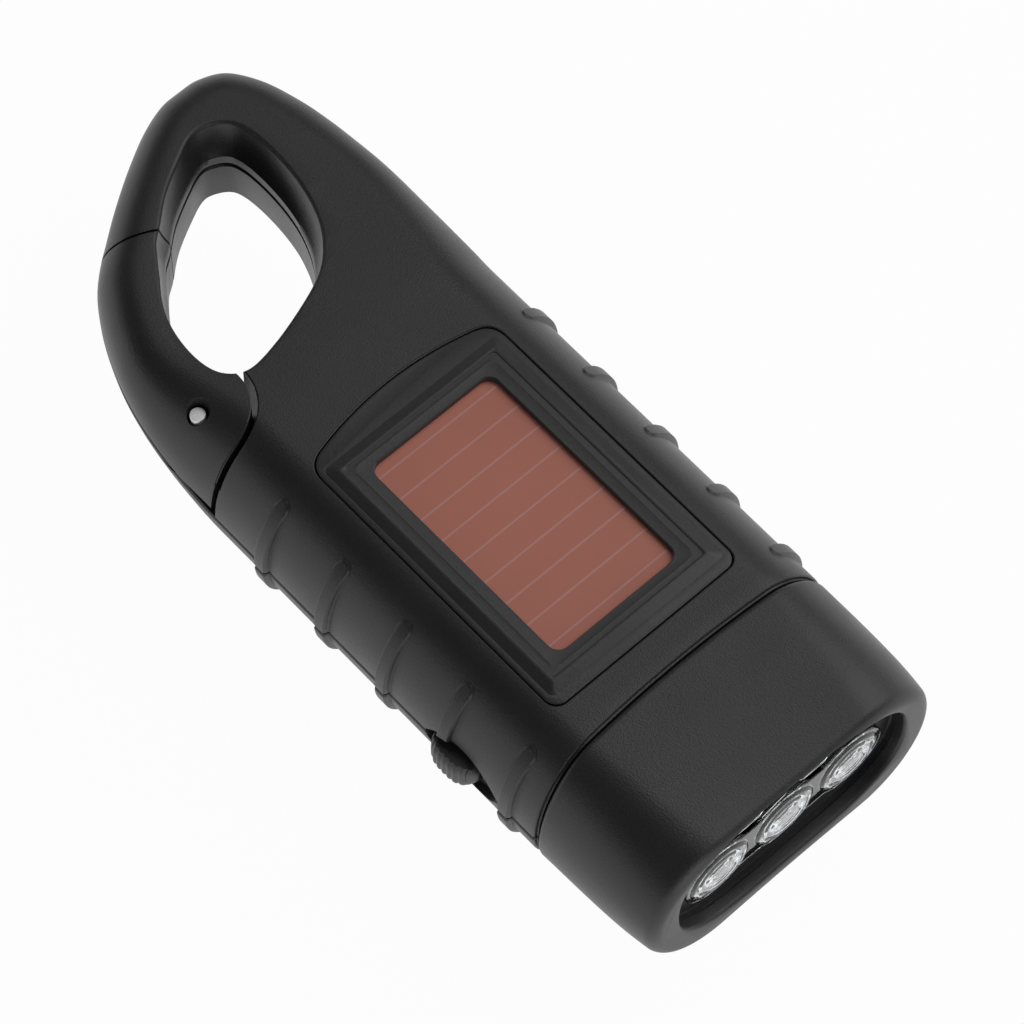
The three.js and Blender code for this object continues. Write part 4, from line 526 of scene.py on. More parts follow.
def rib_height_at(x, y, height, width):
    """How far the grip ribs raise the surface at a place."""
    best = 0.0
    half = width / 2
    # Each rib has a round upper end, from which it fades in
    for i in range(RIB_COUNT):
        middle = RIB_FIRST_X + i * RIB_SPACING + half
        if abs(x - middle) > width:
            continue
        into = abs(y) - RIB_TOP_Y
        distance = math.hypot(x - middle, min(into - half, 0.0)) - half
        rise = 0.3 + 0.7 * float(smoothstep(into, 0.0, RIB_FADE))
        best = max(best, height * rise * float(smoothstep(-distance, -0.1, 0.2)))
    return best


def body_ring(x, grow=0.0, sizes=None):
    """One ring of the body's skin."""
    top, parting, bottom, edge = profile_at(x)
    sides = {side: side_at(x, side) for side in (1, -1)}
    squareness = 1 - HOOK_SQUARENESS * (TOP_Z - top) / HOOK_TOP_DROP

    def place(side, angle, height):
        (px, py), (ox, oy) = sides[side]
        shift = grow
        power = squareness if height > 0 else 1.0
        inward = 1 - abs(math.cos(angle)) ** power
        z = parting + height * math.sin(angle) ** power
        if sizes is not None:
            y = py - edge * inward * oy
            shift += rib_height_at(x, y, sizes.rib_height / MM, sizes.rib_width / MM)
            lift = abs(z - parting)
            shift -= (sizes.seam_groove / MM) * max(0.0, 1 - lift / 0.5)
        inset = edge * inward - shift * math.cos(angle)
        raised = z + math.copysign(1, height) * shift * math.sin(angle)
        return px - inset * ox, py - inset * oy, raised

    up, down = top - parting, bottom - parting
    ring = [place(1, a, up) for a in ARC]
    left = [place(-1, a, up) for a in ARC]
    ring += between(ring[-1], left[-1]) + left[::-1]
    low_left = [place(-1, a, down) for a in ARC[1:]]
    low_right = [place(1, a, down) for a in ARC[1:]]
    ring += low_left + between(low_left[-1], low_right[-1]) + low_right[::-1]
    return ring


def between(start, end):
    """Places across the flat part of a ring."""
    a, b = np.array(start), np.array(end)
    return [tuple(a + (b - a) * i / ACROSS_STEPS) for i in range(1, ACROSS_STEPS)]


def body_stations():
    """Places along X of the skin's rings, close together at the tail and the ribs."""
    tip_x = OUTLINE[TIP][0]
    span = STEP_X - tip_x
    # Close at the tail's tip and wider towards the body, then each millimetre, and finer at the ribs
    count = 80
    stations = [STEP_X - span * math.sin((1 - i / count) * math.pi / 2) for i in range(count + 1)]
    x = STEP_X + 1.0
    while x < SEAM_X - 0.9:
        stations.append(x)
        x += 1.0
    for i in range(RIB_COUNT):
        start = RIB_FIRST_X + i * RIB_SPACING
        stations += [start - 0.45 + 0.15 * k for k in range(22)]
    stations = sorted(stations)
    kept = [stations[0]]
    for x in stations[1:]:
        if x - kept[-1] > 0.1 or x < STEP_X:
            kept.append(x)
    return kept


def bowed(ring, share=1.0):
    """A ring bent forwards at its sides, as the head's seam is."""
    return [(x + share * SEAM_BOW * (y / HALF_WIDTH) ** 2, y, z) for x, y, z in ring]


def body_skin(sizes):
    """The closed skin of the body and hook, with a stepped lip at the head's seam."""
    bend_x = SEAM_X - SEAM_BOW_REACH[0]
    rings = []
    for x in body_stations():
        share = max(0.0, (x - bend_x) / (SEAM_X - bend_x))
        rings.append(bowed(body_ring(x, 0.0, sizes), share))
    for back, grow in LIP_STEPS:
        rings.append(bowed(body_ring(SEAM_X - back, grow, sizes)))
    return loft("body_skin", rings)


def section_bar(name, inset, x0, x1):
    """The body's straight section, set in from the skin, between two places along X."""
    ring = []
    arc = [math.pi / 2 * i / 20 for i in range(21)]
    for side, height, steps in (
        (1, TOP_Z - PARTING_Z - inset, arc), (-1, TOP_Z - PARTING_Z - inset, arc[::-1]),
        (-1, BACK_Z - PARTING_Z + inset, arc[1:]), (1, BACK_Z - PARTING_Z + inset, arc[:0:-1]),
    ):
        for angle in steps:
            y = side * (HALF_WIDTH - inset - (BODY_EDGE - inset) * (1 - math.cos(angle)))
            ring.append((y, PARTING_Z + height * math.sin(angle)))
    return loft(name, [[(x, y, z) for y, z in ring] for x in (x0, x1)])


def shell_half(sizes, side):
    """Everything above or below the shells' seam."""
    gap = sizes.seam_gap / MM / 2
    behind = TAIL_X - OVERRUN
    xs = list(np.linspace(behind, STEP_X + 1, 60)) + [FACE_X]
    line = [(x, profile_at(x)[1] + side * gap) for x in xs]
    far = TOP_Z + 6 if side > 0 else -6
    line += [(FACE_X, far), (behind, far)]
    return loft("shell_half", [[(x, y, z) for x, z in line] for y in (-40, 40)])


def resampled(points, count):
    """Evenly spaced places round a closed line of points."""
    points = np.asarray(points, float)
    points = np.concatenate([points, points[:1]])
    steps = np.linalg.norm(np.diff(points, axis=0), axis=1)
    lengths = np.concatenate([[0], np.cumsum(steps)])
    marks = np.linspace(0, lengths[-1], count, endpoint=False)
    return np.stack([np.interp(marks, lengths, points[:, k]) for k in (0, 1)], axis=1)


def opening_cutter(sizes):
    """The hook's opening, with its scooped upper edge and the seam's groove round its wall."""
    rim = resampled(spline(OPENING_SHARES, True, 1200), 220)
    after, before = np.roll(rim, -1, axis=0), np.roll(rim, 1, axis=0)
    along = after - before
    along /= np.linalg.norm(along, axis=1)[:, None]
    out = np.stack([-along[:, 1], along[:, 0]], axis=1)
    # The scoop is widest towards the tail and the right side, and evened out along the rim
    scoop = SCOOP_WIDTH * np.clip(0.55 - 0.36 * out[:, 0] + 0.48 * out[:, 1], 0.12, 1)
    scoop = sum(np.roll(scoop, k) for k in range(-6, 7)) / 13
    wall = rim - scoop[:, None] * out
    profiles = [profile_at(x) for x, _ in rim]
    top = np.array([p[0] for p in profiles])
    parting = np.array([p[1] for p in profiles])
    bottom = np.array([p[2] for p in profiles])
    depth, lip = SCOOP_DEPTH, SCOOP_LIP
    rings = []

    def add(offset, z):
        flat = wall + offset[:, None] * out
        rings.append(np.column_stack([flat, z]))

    # From the bottom up: clear of the hook, the wall's lower edge, the seam, the scoop and its lip
    zero = np.zeros(len(rim))
    add(zero + 1.2, bottom - 12)
    add(zero + 1.2, bottom - 1)
    for share in (0.0, 0.3, 0.6, 1.0):
        add(zero + 0.15 * (1 - share) ** 2, bottom + 0.3 * share)
    groove = sizes.seam_groove / MM
    for lift, push in ((-0.5, 0.0), (-0.1, groove), (0.1, groove), (0.5, 0.0)):
        add(zero + push, parting + lift)
    steps = 14
    for i in range(steps + 1):
        share = i / steps
        add(scoop * (1 - (1 - share) ** 2.2), top - depth + (depth - lip) * share)
    for i in range(1, 6):
        angle = i / 5 * math.pi / 2
        add(scoop + lip * (1 - math.cos(angle)), top - lip * (1 - math.sin(angle)) + 0.01 * i / 5)
    add(scoop + lip, top + 8)
    return loft("opening_cutter", rings)


def tip_barrel(grow):
    """A barrel round the pivot that ends the gate's tip."""
    top, _, bottom, _ = profile_at(TAIL_X)
    middle = (top + bottom) / 2
    profile = []
    for z in [-3] + list(np.linspace(bottom, top, 24)) + [TOP_Z + 6]:
        share = (min(max(z, bottom), top) - middle) / (top - middle)
        end = TIP_RADII[2] if share > 0 else TIP_RADII[0]
        profile.append((TIP_RADII[1] - (TIP_RADII[1] - end) * share * share + grow, z))
    return turned("tip_barrel", capped(profile), (*PIVOT, 0), count=256)


def gate_space(grow, tip_grow):
    """The room that the gate takes, seen from above, inside the barrel round its pivot."""
    radius = HEEL_RADIUS + grow
    outline = [(PIVOT[0] + radius, -HALF_WIDTH - OVERRUN)]
    outline += circle(PIVOT[0], PIVOT[1], radius, 60, 0, math.radians(100), True)
    outline += [(TAIL_X + u * HOOK_LENGTH, v * HALF_WIDTH) for u, v in GATE_SHARES]
    return combine(upright("gate_space", outline, -3, TOP_Z + 6), tip_barrel(tip_grow), "INTERSECT")


def ear_space(grow):
    """The room under the gate's heel for the lower shell's ear."""
    ear_z = profile_at(PIVOT[0])[1]
    high = ear_z + math.copysign(0.15, grow if grow else -1)
    radius = HEEL_RADIUS + grow
    ear = upright("ear", circle(PIVOT[0], PIVOT[1], radius, 96), -6, high)
    far_y = (-HALF_WIDTH - OVERRUN, PIVOT[1] + radius + HEEL_GROOVE)
    beside = block("beside", (PIVOT[0], SEAM_X), far_y, (-6, high))
    return combine(ear, beside, "UNION")


def surface_z(x, y):
    """Height of the skin above a place seen from above."""
    top, parting, _, edge = profile_at(x)
    if x > TAIL_X + HOOK_LENGTH * 0.98:
        depth = HALF_WIDTH - abs(y)
    else:
        depth = float(np.min(np.linalg.norm(OUTLINE - np.array((x, y)), axis=1)))
    if depth >= edge:
        return top
    power = 1 - HOOK_SQUARENESS * (TOP_Z - top) / HOOK_TOP_DROP
    share = max(0.0, 1 - (1 - depth / edge) ** (2 / power)) ** (power / 2)
    return parting + (top - parting) * share


def groove(points, radius, closed=True, sides=8):
    """A round bar laid along a line on the skin, to be cut from it."""
    points = np.asarray(points, float)
    count = len(points)
    rings = []
    for i in range(count):
        a = points[(i - 1) % count] if closed or i > 0 else points[i]
        b = points[(i + 1) % count] if closed or i < count - 1 else points[i]
        along = (b - a) / np.linalg.norm(b - a)
        flat = np.cross(along, (0, 0, 1))
        flat /= np.linalg.norm(flat)
        rise = np.cross(flat, along)
        rings.append([points[i] + radius * (math.cos(t) * flat + math.sin(t) * rise)
                      for t in (2 * math.pi * k / sides for k in range(sides))])
    return loft("groove", rings, closed)


def bezel_outline(grow):
    """The bezel's outline from above, grown by the given amount."""
    front, rear, half = BEZEL_FRONT_X + grow, BEZEL_REAR_X - grow, BEZEL_HALF + grow
    arc_x, arc_y = rear + 1.8, half - 2.8
    corner_x = arc_x + 2 * (arc_x - rear) * 2.8 / arc_y

    def curve(p0, p1, p2, count=16):
        a, b, c = np.array(p0), np.array(p1), np.array(p2)
        shares = [i / count for i in range(1, count + 1)]
        return [tuple(a * (1 - t) ** 2 + 2 * b * t * (1 - t) + c * t * t) for t in shares]

    line = circle(front - 2, 2 - half, 2, 12, -math.pi / 2, math.pi / 2, True)
    line += circle(front - 2, half - 2, 2, 12, 0, math.pi / 2, True)
    line += [(corner_x + 2.8, half)]
    line += curve((corner_x + 2.8, half), (corner_x, half), (arc_x, arc_y))
    line += curve((arc_x, arc_y), (2 * rear - arc_x, 0), (arc_x, -arc_y), 24)
    line += curve((arc_x, -arc_y), (corner_x, -half), (corner_x + 2.8, -half))
    return line


def rounded_box(x0, x1, y0, y1, corner, count):
    """Outline of a box with round corners."""
    corners = ((x1, y0, -1, 1), (x1, y1, -1, -1), (x0, y1, 1, -1), (x0, y0, 1, 1))
    line = []
    for quarter, (x, y, in_x, in_y) in enumerate(corners):
        start = (quarter - 1) * math.pi / 2
        line += circle(x + in_x * corner, y + in_y * corner, corner, count, start, math.pi / 2, True)
    return line


def switch_scoop():
    """The lens-shaped scoop that the switch button slides in."""
    half, height, depth = 7.0, 4.1, 1.6
    radius = (half * half + height * height) / (2 * height)
    reach = math.asin(half / radius)
    drop = radius - height
    line = circle(0, drop, radius, 25, -math.pi / 2 - reach, 2 * reach, True)
    line += circle(0, -drop, radius, 25, math.pi / 2 - reach, 2 * reach, True)[1:-1]
    rings = []
    for into, scale in ((-3, 1.12), (-0.6, 1.12), (0.1, 1.03), (0.7, 1.0), (depth, 0.97)):
        rings.append([(SWITCH_X + u * scale, into - HALF_WIDTH, PARTING_Z + v * scale)
                      for u, v in line])
    return loft("switch_scoop", rings)


# Form of the head

def head_ring(x, inset, arc_steps=28, across_steps=24):
    """One ring of the head, which gets its waist and its bend towards the face."""
    share = min(max((x - HEAD_REAR_X) / (FACE_X - HEAD_REAR_X), 0), 1)
    top = TOP_Z - HEAD_FACE_DROP * share * share - inset
    bottom = BACK_Z + HEAD_BOTTOM_RISE * share + inset
    middle = PARTING_Z + (LIGHT_Z - PARTING_Z) * share
    half = HALF_WIDTH + (HEAD_FACE_HALF - HALF_WIDTH) * share ** 4 - inset
    edge = BODY_EDGE + (HEAD_EDGE - BODY_EDGE) * share - inset

    def half_ring(height, side, first):
        angles = [k / arc_steps * math.pi / 2 for k in range(first, arc_steps + 1)]
        arc = [(side * (half - edge * (1 - math.cos(a))), math.sin(a)) for a in angles]
        flat = [(side * (half - edge) * (1 - 2 * i / across_steps), 1.0) for i in range(1, across_steps)]
        ring = []
        for y, lift in arc + flat + [(-y, lift) for y, lift in arc[::-1]]:
            waist = HEAD_WAIST * share * (math.cos(y / half * math.pi) + 1) / 2
            ring.append((x, y, middle + (height - math.copysign(waist, height)) * lift))
        return ring

    bow = min(max(1 - (x - HEAD_REAR_X - 0.4) / SEAM_BOW_REACH[1], 0), 1)
    return bowed(half_ring(top - middle, 1, 0) + half_ring(bottom - middle, -1, 1), bow)


def leaned(ring):
    """A ring near the face, moved back more the higher it lies."""
    straight_end = FACE_X - HEAD_ROUNDING
    share = float(smoothstep(ring[0][0], straight_end - LEAN_LENGTH, straight_end))
    height = TOP_Z - BACK_Z
    return [(x - share * (FACE_SETBACK + FACE_LEAN * (z - BACK_Z) / height), y, z)
            for x, y, z in ring]


def face_opening(grow, count=128):
    """Outline of the front opening in Y and Z."""
    half, height = OPENING_HALF + grow, OPENING_HEIGHT + grow
    points = []
    for i in range(count):
        angle = i / count * 2 * math.pi
        c, s = math.cos(angle), math.sin(angle)
        y = half * math.copysign(abs(c) ** 0.62, c)
        waist = HEAD_WAIST * (math.cos(y / half * math.pi) + 1) / 2
        points.append((y, OPENING_Z + (height - waist) * math.copysign(abs(s) ** 0.8, s)))
    return resampled(points, count)


def strip_outline(grow=0.0, count=40):
    """Outline of the three cups in a row, joined by webs."""
    radius = STRIP_RADIUS + grow
    bend = math.asin(min(1.0, (STRIP_WEB + grow) / radius))
    line = []
    for y in CUPS_Y[::-1]:
        start = 0.0 if y == CUPS_Y[-1] else bend
        end = math.pi if y == CUPS_Y[0] else math.pi - bend
        line += circle(y, LIGHT_Z, radius, count + 1, start, end - start, True)
    for y in CUPS_Y:
        start = -math.pi if y == CUPS_Y[0] else bend - math.pi
        end = 0.0 if y == CUPS_Y[-1] else -bend
        line += circle(y, LIGHT_Z, radius, count + 1, start, end - start, True)
    kept = [line[0]]
    for p in line[1:]:
        if math.dist(p, kept[-1]) > 0.001:
            kept.append(p)
    if math.dist(kept[0], kept[-1]) < 0.001:
        kept.pop()
    return kept


def forward(name, outline, steps):
    """A solid along X through (value, place) steps; the outline in Y and Z is a function of the value."""
    return loft(name, [[(x, y, z) for y, z in outline(value)] for value, x in steps])


# Shader groups and finishes

def new_group(name, inputs, outputs):
    """An empty shader group with its sockets."""
    group = bpy.data.node_groups.new(name, "ShaderNodeTree")
    for label, kind, value in inputs:
        socket = group.interface.new_socket(name=label, in_out="INPUT", socket_type=kind)
        socket.default_value = value
    for label, kind in outputs:
        group.interface.new_socket(name=label, in_out="OUTPUT", socket_type=kind)
    return group, group.nodes.new("NodeGroupInput"), group.nodes.new("NodeGroupOutput")


def fill(tree, made, inputs):
    """Give a node's inputs their values, or link them to the outputs of other nodes."""
    for key, value in inputs.items():
        if isinstance(value, bpy.types.NodeSocket):
            tree.links.new(value, made.inputs[key])
        else:
            made.inputs[key].default_value = value
    return made


def node(tree, kind, inputs=None, **settings):
    """A new shader node with its settings and inputs."""
    made = tree.nodes.new("ShaderNode" + kind)
    for key, value in settings.items():
        setattr(made, key, value)
    return fill(tree, made, inputs or {})


def maths(tree, operation, *inputs, **settings):
    """The output of a new maths node."""
    return node(tree, "Math", dict(enumerate(inputs)), operation=operation, **settings).outputs[0]


def noise(tree, scale, detail=2.0):
    """The output of a new noise node that follows the piece's own places."""
    place = node(tree, "TexCoord").outputs["Object"]
    return node(tree, "TexNoise", {"Vector": place, "Scale": scale, "Detail": detail}).outputs["Fac"]


def moulded_group():
    """Fine moulded grain: a varied colour, roughness and height from one colour."""
    name = "Moulded grain"
    if name in bpy.data.node_groups:
        return bpy.data.node_groups[name]
    group, start, end = new_group(name, [
        ("Color", "NodeSocketColor", (0.03, 0.03, 0.03, 1)), ("Roughness", "NodeSocketFloat", 0.5),
        ("Grain scale", "NodeSocketFloat", 2600.0), ("Grain depth", "NodeSocketFloat", 0.3),
        ("Cloud", "NodeSocketFloat", 0.12),
    ], [("Color", "NodeSocketColor"), ("Roughness", "NodeSocketFloat"), ("Normal", "NodeSocketVector")])
    given = start.outputs
    grain = noise(group, given["Grain scale"], 3)
    clouds = noise(group, 70, 3)
    ranged = node(group, "MapRange", {
        "Value": clouds, "From Min": 0.3, "From Max": 0.7, "To Min": -0.5, "To Max": 0.5})
    cloudy = maths(group, "MULTIPLY", ranged.outputs["Result"], given["Cloud"])
    speck = maths(group, "MULTIPLY_ADD", grain, 0.5, -0.25)
    value = maths(group, "ADD", maths(group, "ADD", cloudy, speck), 1.0)
    shade = node(group, "HueSaturation", {"Value": value, "Color": given["Color"]})
    bump = node(group, "Bump", {
        "Distance": 0.00006, "Height": grain, "Strength": given["Grain depth"]})
    fill(group, end, {
        "Color": shade.outputs["Color"], "Normal": bump.outputs["Normal"],
        "Roughness": maths(group, "ADD", given["Roughness"], cloudy)})
    return group


def bare_material(name):
    """A new material, its node tree and its shader."""
    material = bpy.data.materials.new(name)
    material.use_nodes = True
    shader = material.node_tree.nodes["Principled BSDF"]
    return material, material.node_tree, shader


def moulded(name, color, roughness, grain_scale, depth, cloud, metallic=0.0, coat=0.0):
    """A material made of the moulded grain group on a plain shader."""
    material, tree, shader = bare_material(name)
    group = node(tree, "Group", node_tree=moulded_group())
    fill(tree, group, {"Color": (*color, 1), "Roughness": roughness, "Grain scale": grain_scale,
                       "Grain depth": depth, "Cloud": cloud})
    grained = group.outputs
    fill(tree, shader, {"Base Color": grained["Color"], "Roughness": grained["Roughness"],
                        "Normal": grained["Normal"], "Metallic": metallic, "Coat Weight": coat})
    return material


def cell_material(color):
    """Red-brown film with fine pale lines across it."""
    material, tree, shader = bare_material("solar_film")
    place = node(tree, "TexCoord").outputs["Object"]
    split = node(tree, "SeparateXYZ", {0: place})
    shifted = maths(tree, "SUBTRACT", split.outputs["X"], (WINDOW_X[0] + 1.7) * MM)
    pitch = maths(tree, "DIVIDE", shifted, CELL_LINE_SPACING * MM)
    near = maths(tree, "PINGPONG", pitch, 0.5)
    line = node(tree, "MapRange", {"From Min": 0.045, "From Max": 0.025, "Value": near},
                interpolation_type="SMOOTHSTEP")
    tone = node(tree, "Mix", {
        "A": (*[c * 0.93 for c in color], 1), "B": (*[min(1, c * 1.07) for c in color], 1),
        "Factor": noise(tree, 60, 4)}, data_type="RGBA")
    mixed = node(tree, "Mix", {
        "A": tone.outputs["Result"], "B": (0.6, 0.29, 0.25, 1), "Factor": line.outputs["Result"]},
        data_type="RGBA")
    fill(tree, shader, {"Base Color": mixed.outputs["Result"], "Roughness": 0.42,
                        "Specular IOR Level": 0.3})
    return material


def clear_material(name, color, roughness):
    """Clear plastic with a faint variation of its roughness."""
    material, tree, shader = bare_material(name)
    ranged = node(tree, "MapRange", {
        "Value": noise(tree, 240), "To Min": roughness * 0.6, "To Max": roughness * 1.6})
    fill(tree, shader, {"Roughness": ranged.outputs["Result"], "Base Color": (*color, 1),
                        "Transmission Weight": 1.0, "IOR": 1.49})
    return material


# Colour, roughness, grain scale, grain depth, cloud, metal share and coat of the moulded finishes
MOULDED = {
    "trim_plastic": ((0.024, 0.024, 0.025), 0.42, 2600, 0.25, 0.08),
    "bezel_plastic": ((0.026, 0.026, 0.027), 0.42, 2200, 0.5, 0.08),
    "steel": ((0.62, 0.63, 0.65), 0.28, 1200, 0.1, 0.1, 1.0),
    # The gate pin's near-white steel is partly the pin's own pale metal and partly a painted reflection of
    # the lamp above its top
    "pale_steel_painted_reflection": ((0.93, 0.93, 0.92), 0.55, 900, 0.1, 0.1, 0.6),
    "black_steel": ((0.06, 0.06, 0.065), 0.4, 1200, 0.15, 0.1, 1.0),
    "board": ((0.02, 0.13, 0.05), 0.35, 900, 0.2, 0.1, 0.0, 0.4),
    "battery_wrap": ((0.04, 0.2, 0.5), 0.3, 400, 0.2, 0.1, 0.0, 0.5),
    "component_black": ((0.02, 0.02, 0.022), 0.55, 2400, 0.3, 0.1),
    "ferrite": ((0.05, 0.05, 0.055), 0.7, 1800, 0.5, 0.1),
    "gear_plastic": ((0.74, 0.72, 0.64), 0.4, 900, 0.15, 0.06),
    "bronze": ((0.5, 0.33, 0.12), 0.4, 1500, 0.4, 0.1, 1.0),
    "copper": ((0.6, 0.22, 0.08), 0.3, 1500, 0.4, 0.1, 1.0),
    "core_steel": ((0.35, 0.35, 0.37), 0.45, 1500, 0.4, 0.1, 1.0),
    "lead_red": ((0.45, 0.02, 0.015), 0.4, 700, 0.2, 0.08),
    "lead_black": ((0.02, 0.02, 0.02), 0.4, 700, 0.2, 0.08),
    "lead_yellow": ((0.6, 0.4, 0.03), 0.4, 700, 0.2, 0.08),
}
FINISHES = {}


def build_finishes():
    """Make the finishes and put them on the CAD nodes that stay in sight."""
    colours = bpy.context.scene.flashlight_finishes
    looks = dict(MOULDED)
    looks["shell_plastic"] = (colours.shell, 0.4, 3900, 0.8, 0.08)
    looks["reflector_chrome"] = (colours.chrome, 0.06, 500, 0.03, 0.03, 1.0)
    FINISHES.update({name: moulded(name, *values) for name, values in looks.items()})
    FINISHES["solar_film"] = cell_material(colours.cell)
    FINISHES["clear_plastic"] = clear_material("clear_plastic", (0.97, 0.985, 0.99), 0.02)
    FINISHES["led_epoxy"] = clear_material("led_epoxy", (0.97, 0.97, 0.93), 0.03)
    slots = {entry["node"]: entry["material_slot"] for entry in frame["record"]["subparts"]}
    for name, piece in NODES.items():
        piece.data.materials.clear()
        piece.data.materials.append(FINISHES[slots[name]])


# Pieces

def common_body(sizes):
    """Body and hook before they are parted: skin, collar, hollow and opening."""
    body = body_skin(sizes)
    combine(body, section_bar("collar", WALL + 0.6, SEAM_X - WALL, COLLAR_X), "UNION")
    hollow_x = TAIL_X + HOOK_LENGTH + WALL
    hollow = section_bar("hollow", WALL, hollow_x, SEAM_X - WALL)
    combine(hollow, section_bar("mouth", 2 * WALL, hollow_x, COLLAR_X + OVERRUN), "UNION")
    radius = HEEL_RADIUS + HEEL_GROOVE + WALL
    combine(hollow, upright("round_wall", circle(*PIVOT, radius), 0, TOP_Z))
    beside = (TAIL_X + HOOK_LENGTH - 1, PIVOT[0] + radius)
    combine(hollow, block("beside", beside, (-HALF_WIDTH, PIVOT[1]), (0, TOP_Z)))
    combine(body, hollow)
    return combine(body, opening_cutter(sizes))


def heel_line(reach):
    """The line of the groove round the gate's heel, on the skin."""
    flat = [(PIVOT[0] + reach, y) for y in np.linspace(-HALF_WIDTH + 1.2, PIVOT[1], 10)[:-1]]
    flat += circle(*PIVOT, reach, 40, 0, math.radians(98), True)
    return [(x, y, surface_z(x, y)) for x, y in flat]


class FLASHLIGHT_OT_shells(bpy.types.Operator):
    """Make the upper and lower shells with their ribs, seams and scooped hook."""

    bl_idname = "flashlight.shells"
    bl_label = "Shells"

    def execute(self, context):
        sizes = context.scene.flashlight_sizes
        upper = common_body(sizes)
        lower = copy_of(upper, "lower_shell_skin")
        upper.name = upper.data.name = "upper_shell_skin"
        combine(upper, shell_half(sizes, 1), "INTERSECT")
        combine(lower, shell_half(sizes, -1), "INTERSECT")
        combine(upper, gate_space(HEEL_GROOVE, TIP_GAP))
        combine(lower, combine(gate_space(HEEL_GROOVE, TIP_GAP), ear_space(0)))
        for piece in (upper, lower):
            line = heel_line(HEEL_RADIUS + HEEL_GROOVE)
            combine(piece, groove(line, GROOVE_RADIUS, closed=False))
            combine(piece, switch_scoop())
        pocket = bezel_outline(POCKET_GAP)
        combine(upper, upright("pocket", pocket, BEZEL_BOTTOM_Z, TOP_Z + 5))
        combine(upper, upright("well", bezel_outline(-WELL_INSET), PARTING_Z - 5, TOP_Z + 5))
        rim = [(x, y, TOP_Z + 0.05) for x, y in resampled(pocket, 240)]
        combine(upper, groove(rim, GROOVE_RADIUS))
        for x, y in SHELL_SCREWS:
            bottom = profile_at(x)[2]
            seat = bottom + SCREW_SEAT
            wide, narrow = SCREW_HOLE_RADIUS, SCREW_HOLE_RADIUS - 0.2
            hole = [(wide, 0), (wide, bottom + 0.1), (narrow, bottom + 0.3), (narrow, seat),
                    (SCREW_BORE_RADIUS, seat), (SCREW_BORE_RADIUS, seat + 15)]
            combine(lower, turned("screw_hole", capped(hole), (x, y, 0), count=48))
        shaft_hole = circle(CRANK_X, 0, SHAFT_HOLE_RADIUS, 64)
        combine(lower, upright("shaft_hole", shaft_hole, 0, TOP_Z - 8))
        finish(upper, "body", "shell_plastic", "upper_shell")
        finish(lower, "body", "shell_plastic", "lower_shell")
        return {"FINISHED"}


class FLASHLIGHT_OT_gate(bpy.types.Operator):
    """Make the sprung gate of the hook and its pin."""

    bl_idname = "flashlight.gate"
    bl_label = "Gate"

    def execute(self, context):
        sizes = context.scene.flashlight_sizes
        gate = body_skin(sizes)
        gate.name = gate.data.name = "gate_arm"
        combine(gate, opening_cutter(sizes))
        combine(gate, gate_space(0, 0), "INTERSECT")
        combine(gate, ear_space(HEEL_GROOVE))
        ear_z = profile_at(PIVOT[0])[1]
        pocket = circle(*PIVOT, SPRING_RADIUS, 64)
        combine(gate, upright("spring_pocket", pocket, ear_z - 1, ear_z + 3.6))
        top = surface_z(*PIVOT)
        narrow, wide = PIN_HOLE_RADIUS, PIN_HOLE_RADIUS + 0.3
        hole = [(narrow, ear_z), (narrow, top - 0.7), (wide, top + 0.5), (wide, top + 4)]
        combine(gate, turned("pin_hole", capped(hole), (*PIVOT, 0), count=64))
        combine(gate, groove(heel_line(HEEL_RADIUS), GROOVE_RADIUS, closed=False))
        finish(gate, "gate_body", "shell_plastic", "gate")

        low, high = extent("gate_pin", 2)
        ends = [(0.15, low), (0.0, low + 0.15), (0.0, high - 0.1), (0.05, high - 0.02), (0.12, high)]
        rod = capped([(PIN_RADIUS - inset, z) for inset, z in ends])
        pin = turned("gate_pin_rod", rod, (*PIVOT, 0), count=48)
        # The pin's near-white finish is in part a painted reflection of the lamp above it
        finish(pin, "body", "steel", "gate_pin", look="pale_steel_painted_reflection")
        return {"FINISHED"}


class FLASHLIGHT_OT_head(bpy.types.Operator):
    """Make the head with its rounded rim and deep front opening."""

    bl_idname = "flashlight.head"
    bl_label = "Head"

    def execute(self, context):
        straight_end = FACE_X - HEAD_ROUNDING
        stations = [(HEAD_REAR_X + ahead, inset) for ahead, inset in HEAD_REAR_STEPS]
        stations += [(x, 0.0) for x in np.linspace(HEAD_REAR_X + 1, straight_end, 30)]
        for i in range(1, 11):
            angle = i / 10 * math.pi / 2
            ahead, inset = HEAD_ROUNDING * math.sin(angle), HEAD_ROUNDING * (1 - math.cos(angle))
            stations.append((straight_end + ahead, inset))
        head = loft("head_housing", [leaned(head_ring(x, inset)) for x, inset in stations])
        inner_x = np.linspace(HEAD_REAR_X - OVERRUN, FLANGE_X[1], 12)
        combine(head, loft("head_inner", [head_ring(x, WALL) for x in inner_x]))
        combine(head, loft("bore", [
            leaned([(x, y, z) for y, z in face_opening(grow)]) for grow, x in BORE_STEPS]))
        window = ((WINDOW_GAP, FLANGE_X[0] - 2), (WINDOW_GAP, FACE_X))
        combine(head, forward("window", strip_outline, window))
        finish(head, "body", "shell_plastic", "head_shell")
        return {"FINISHED"}


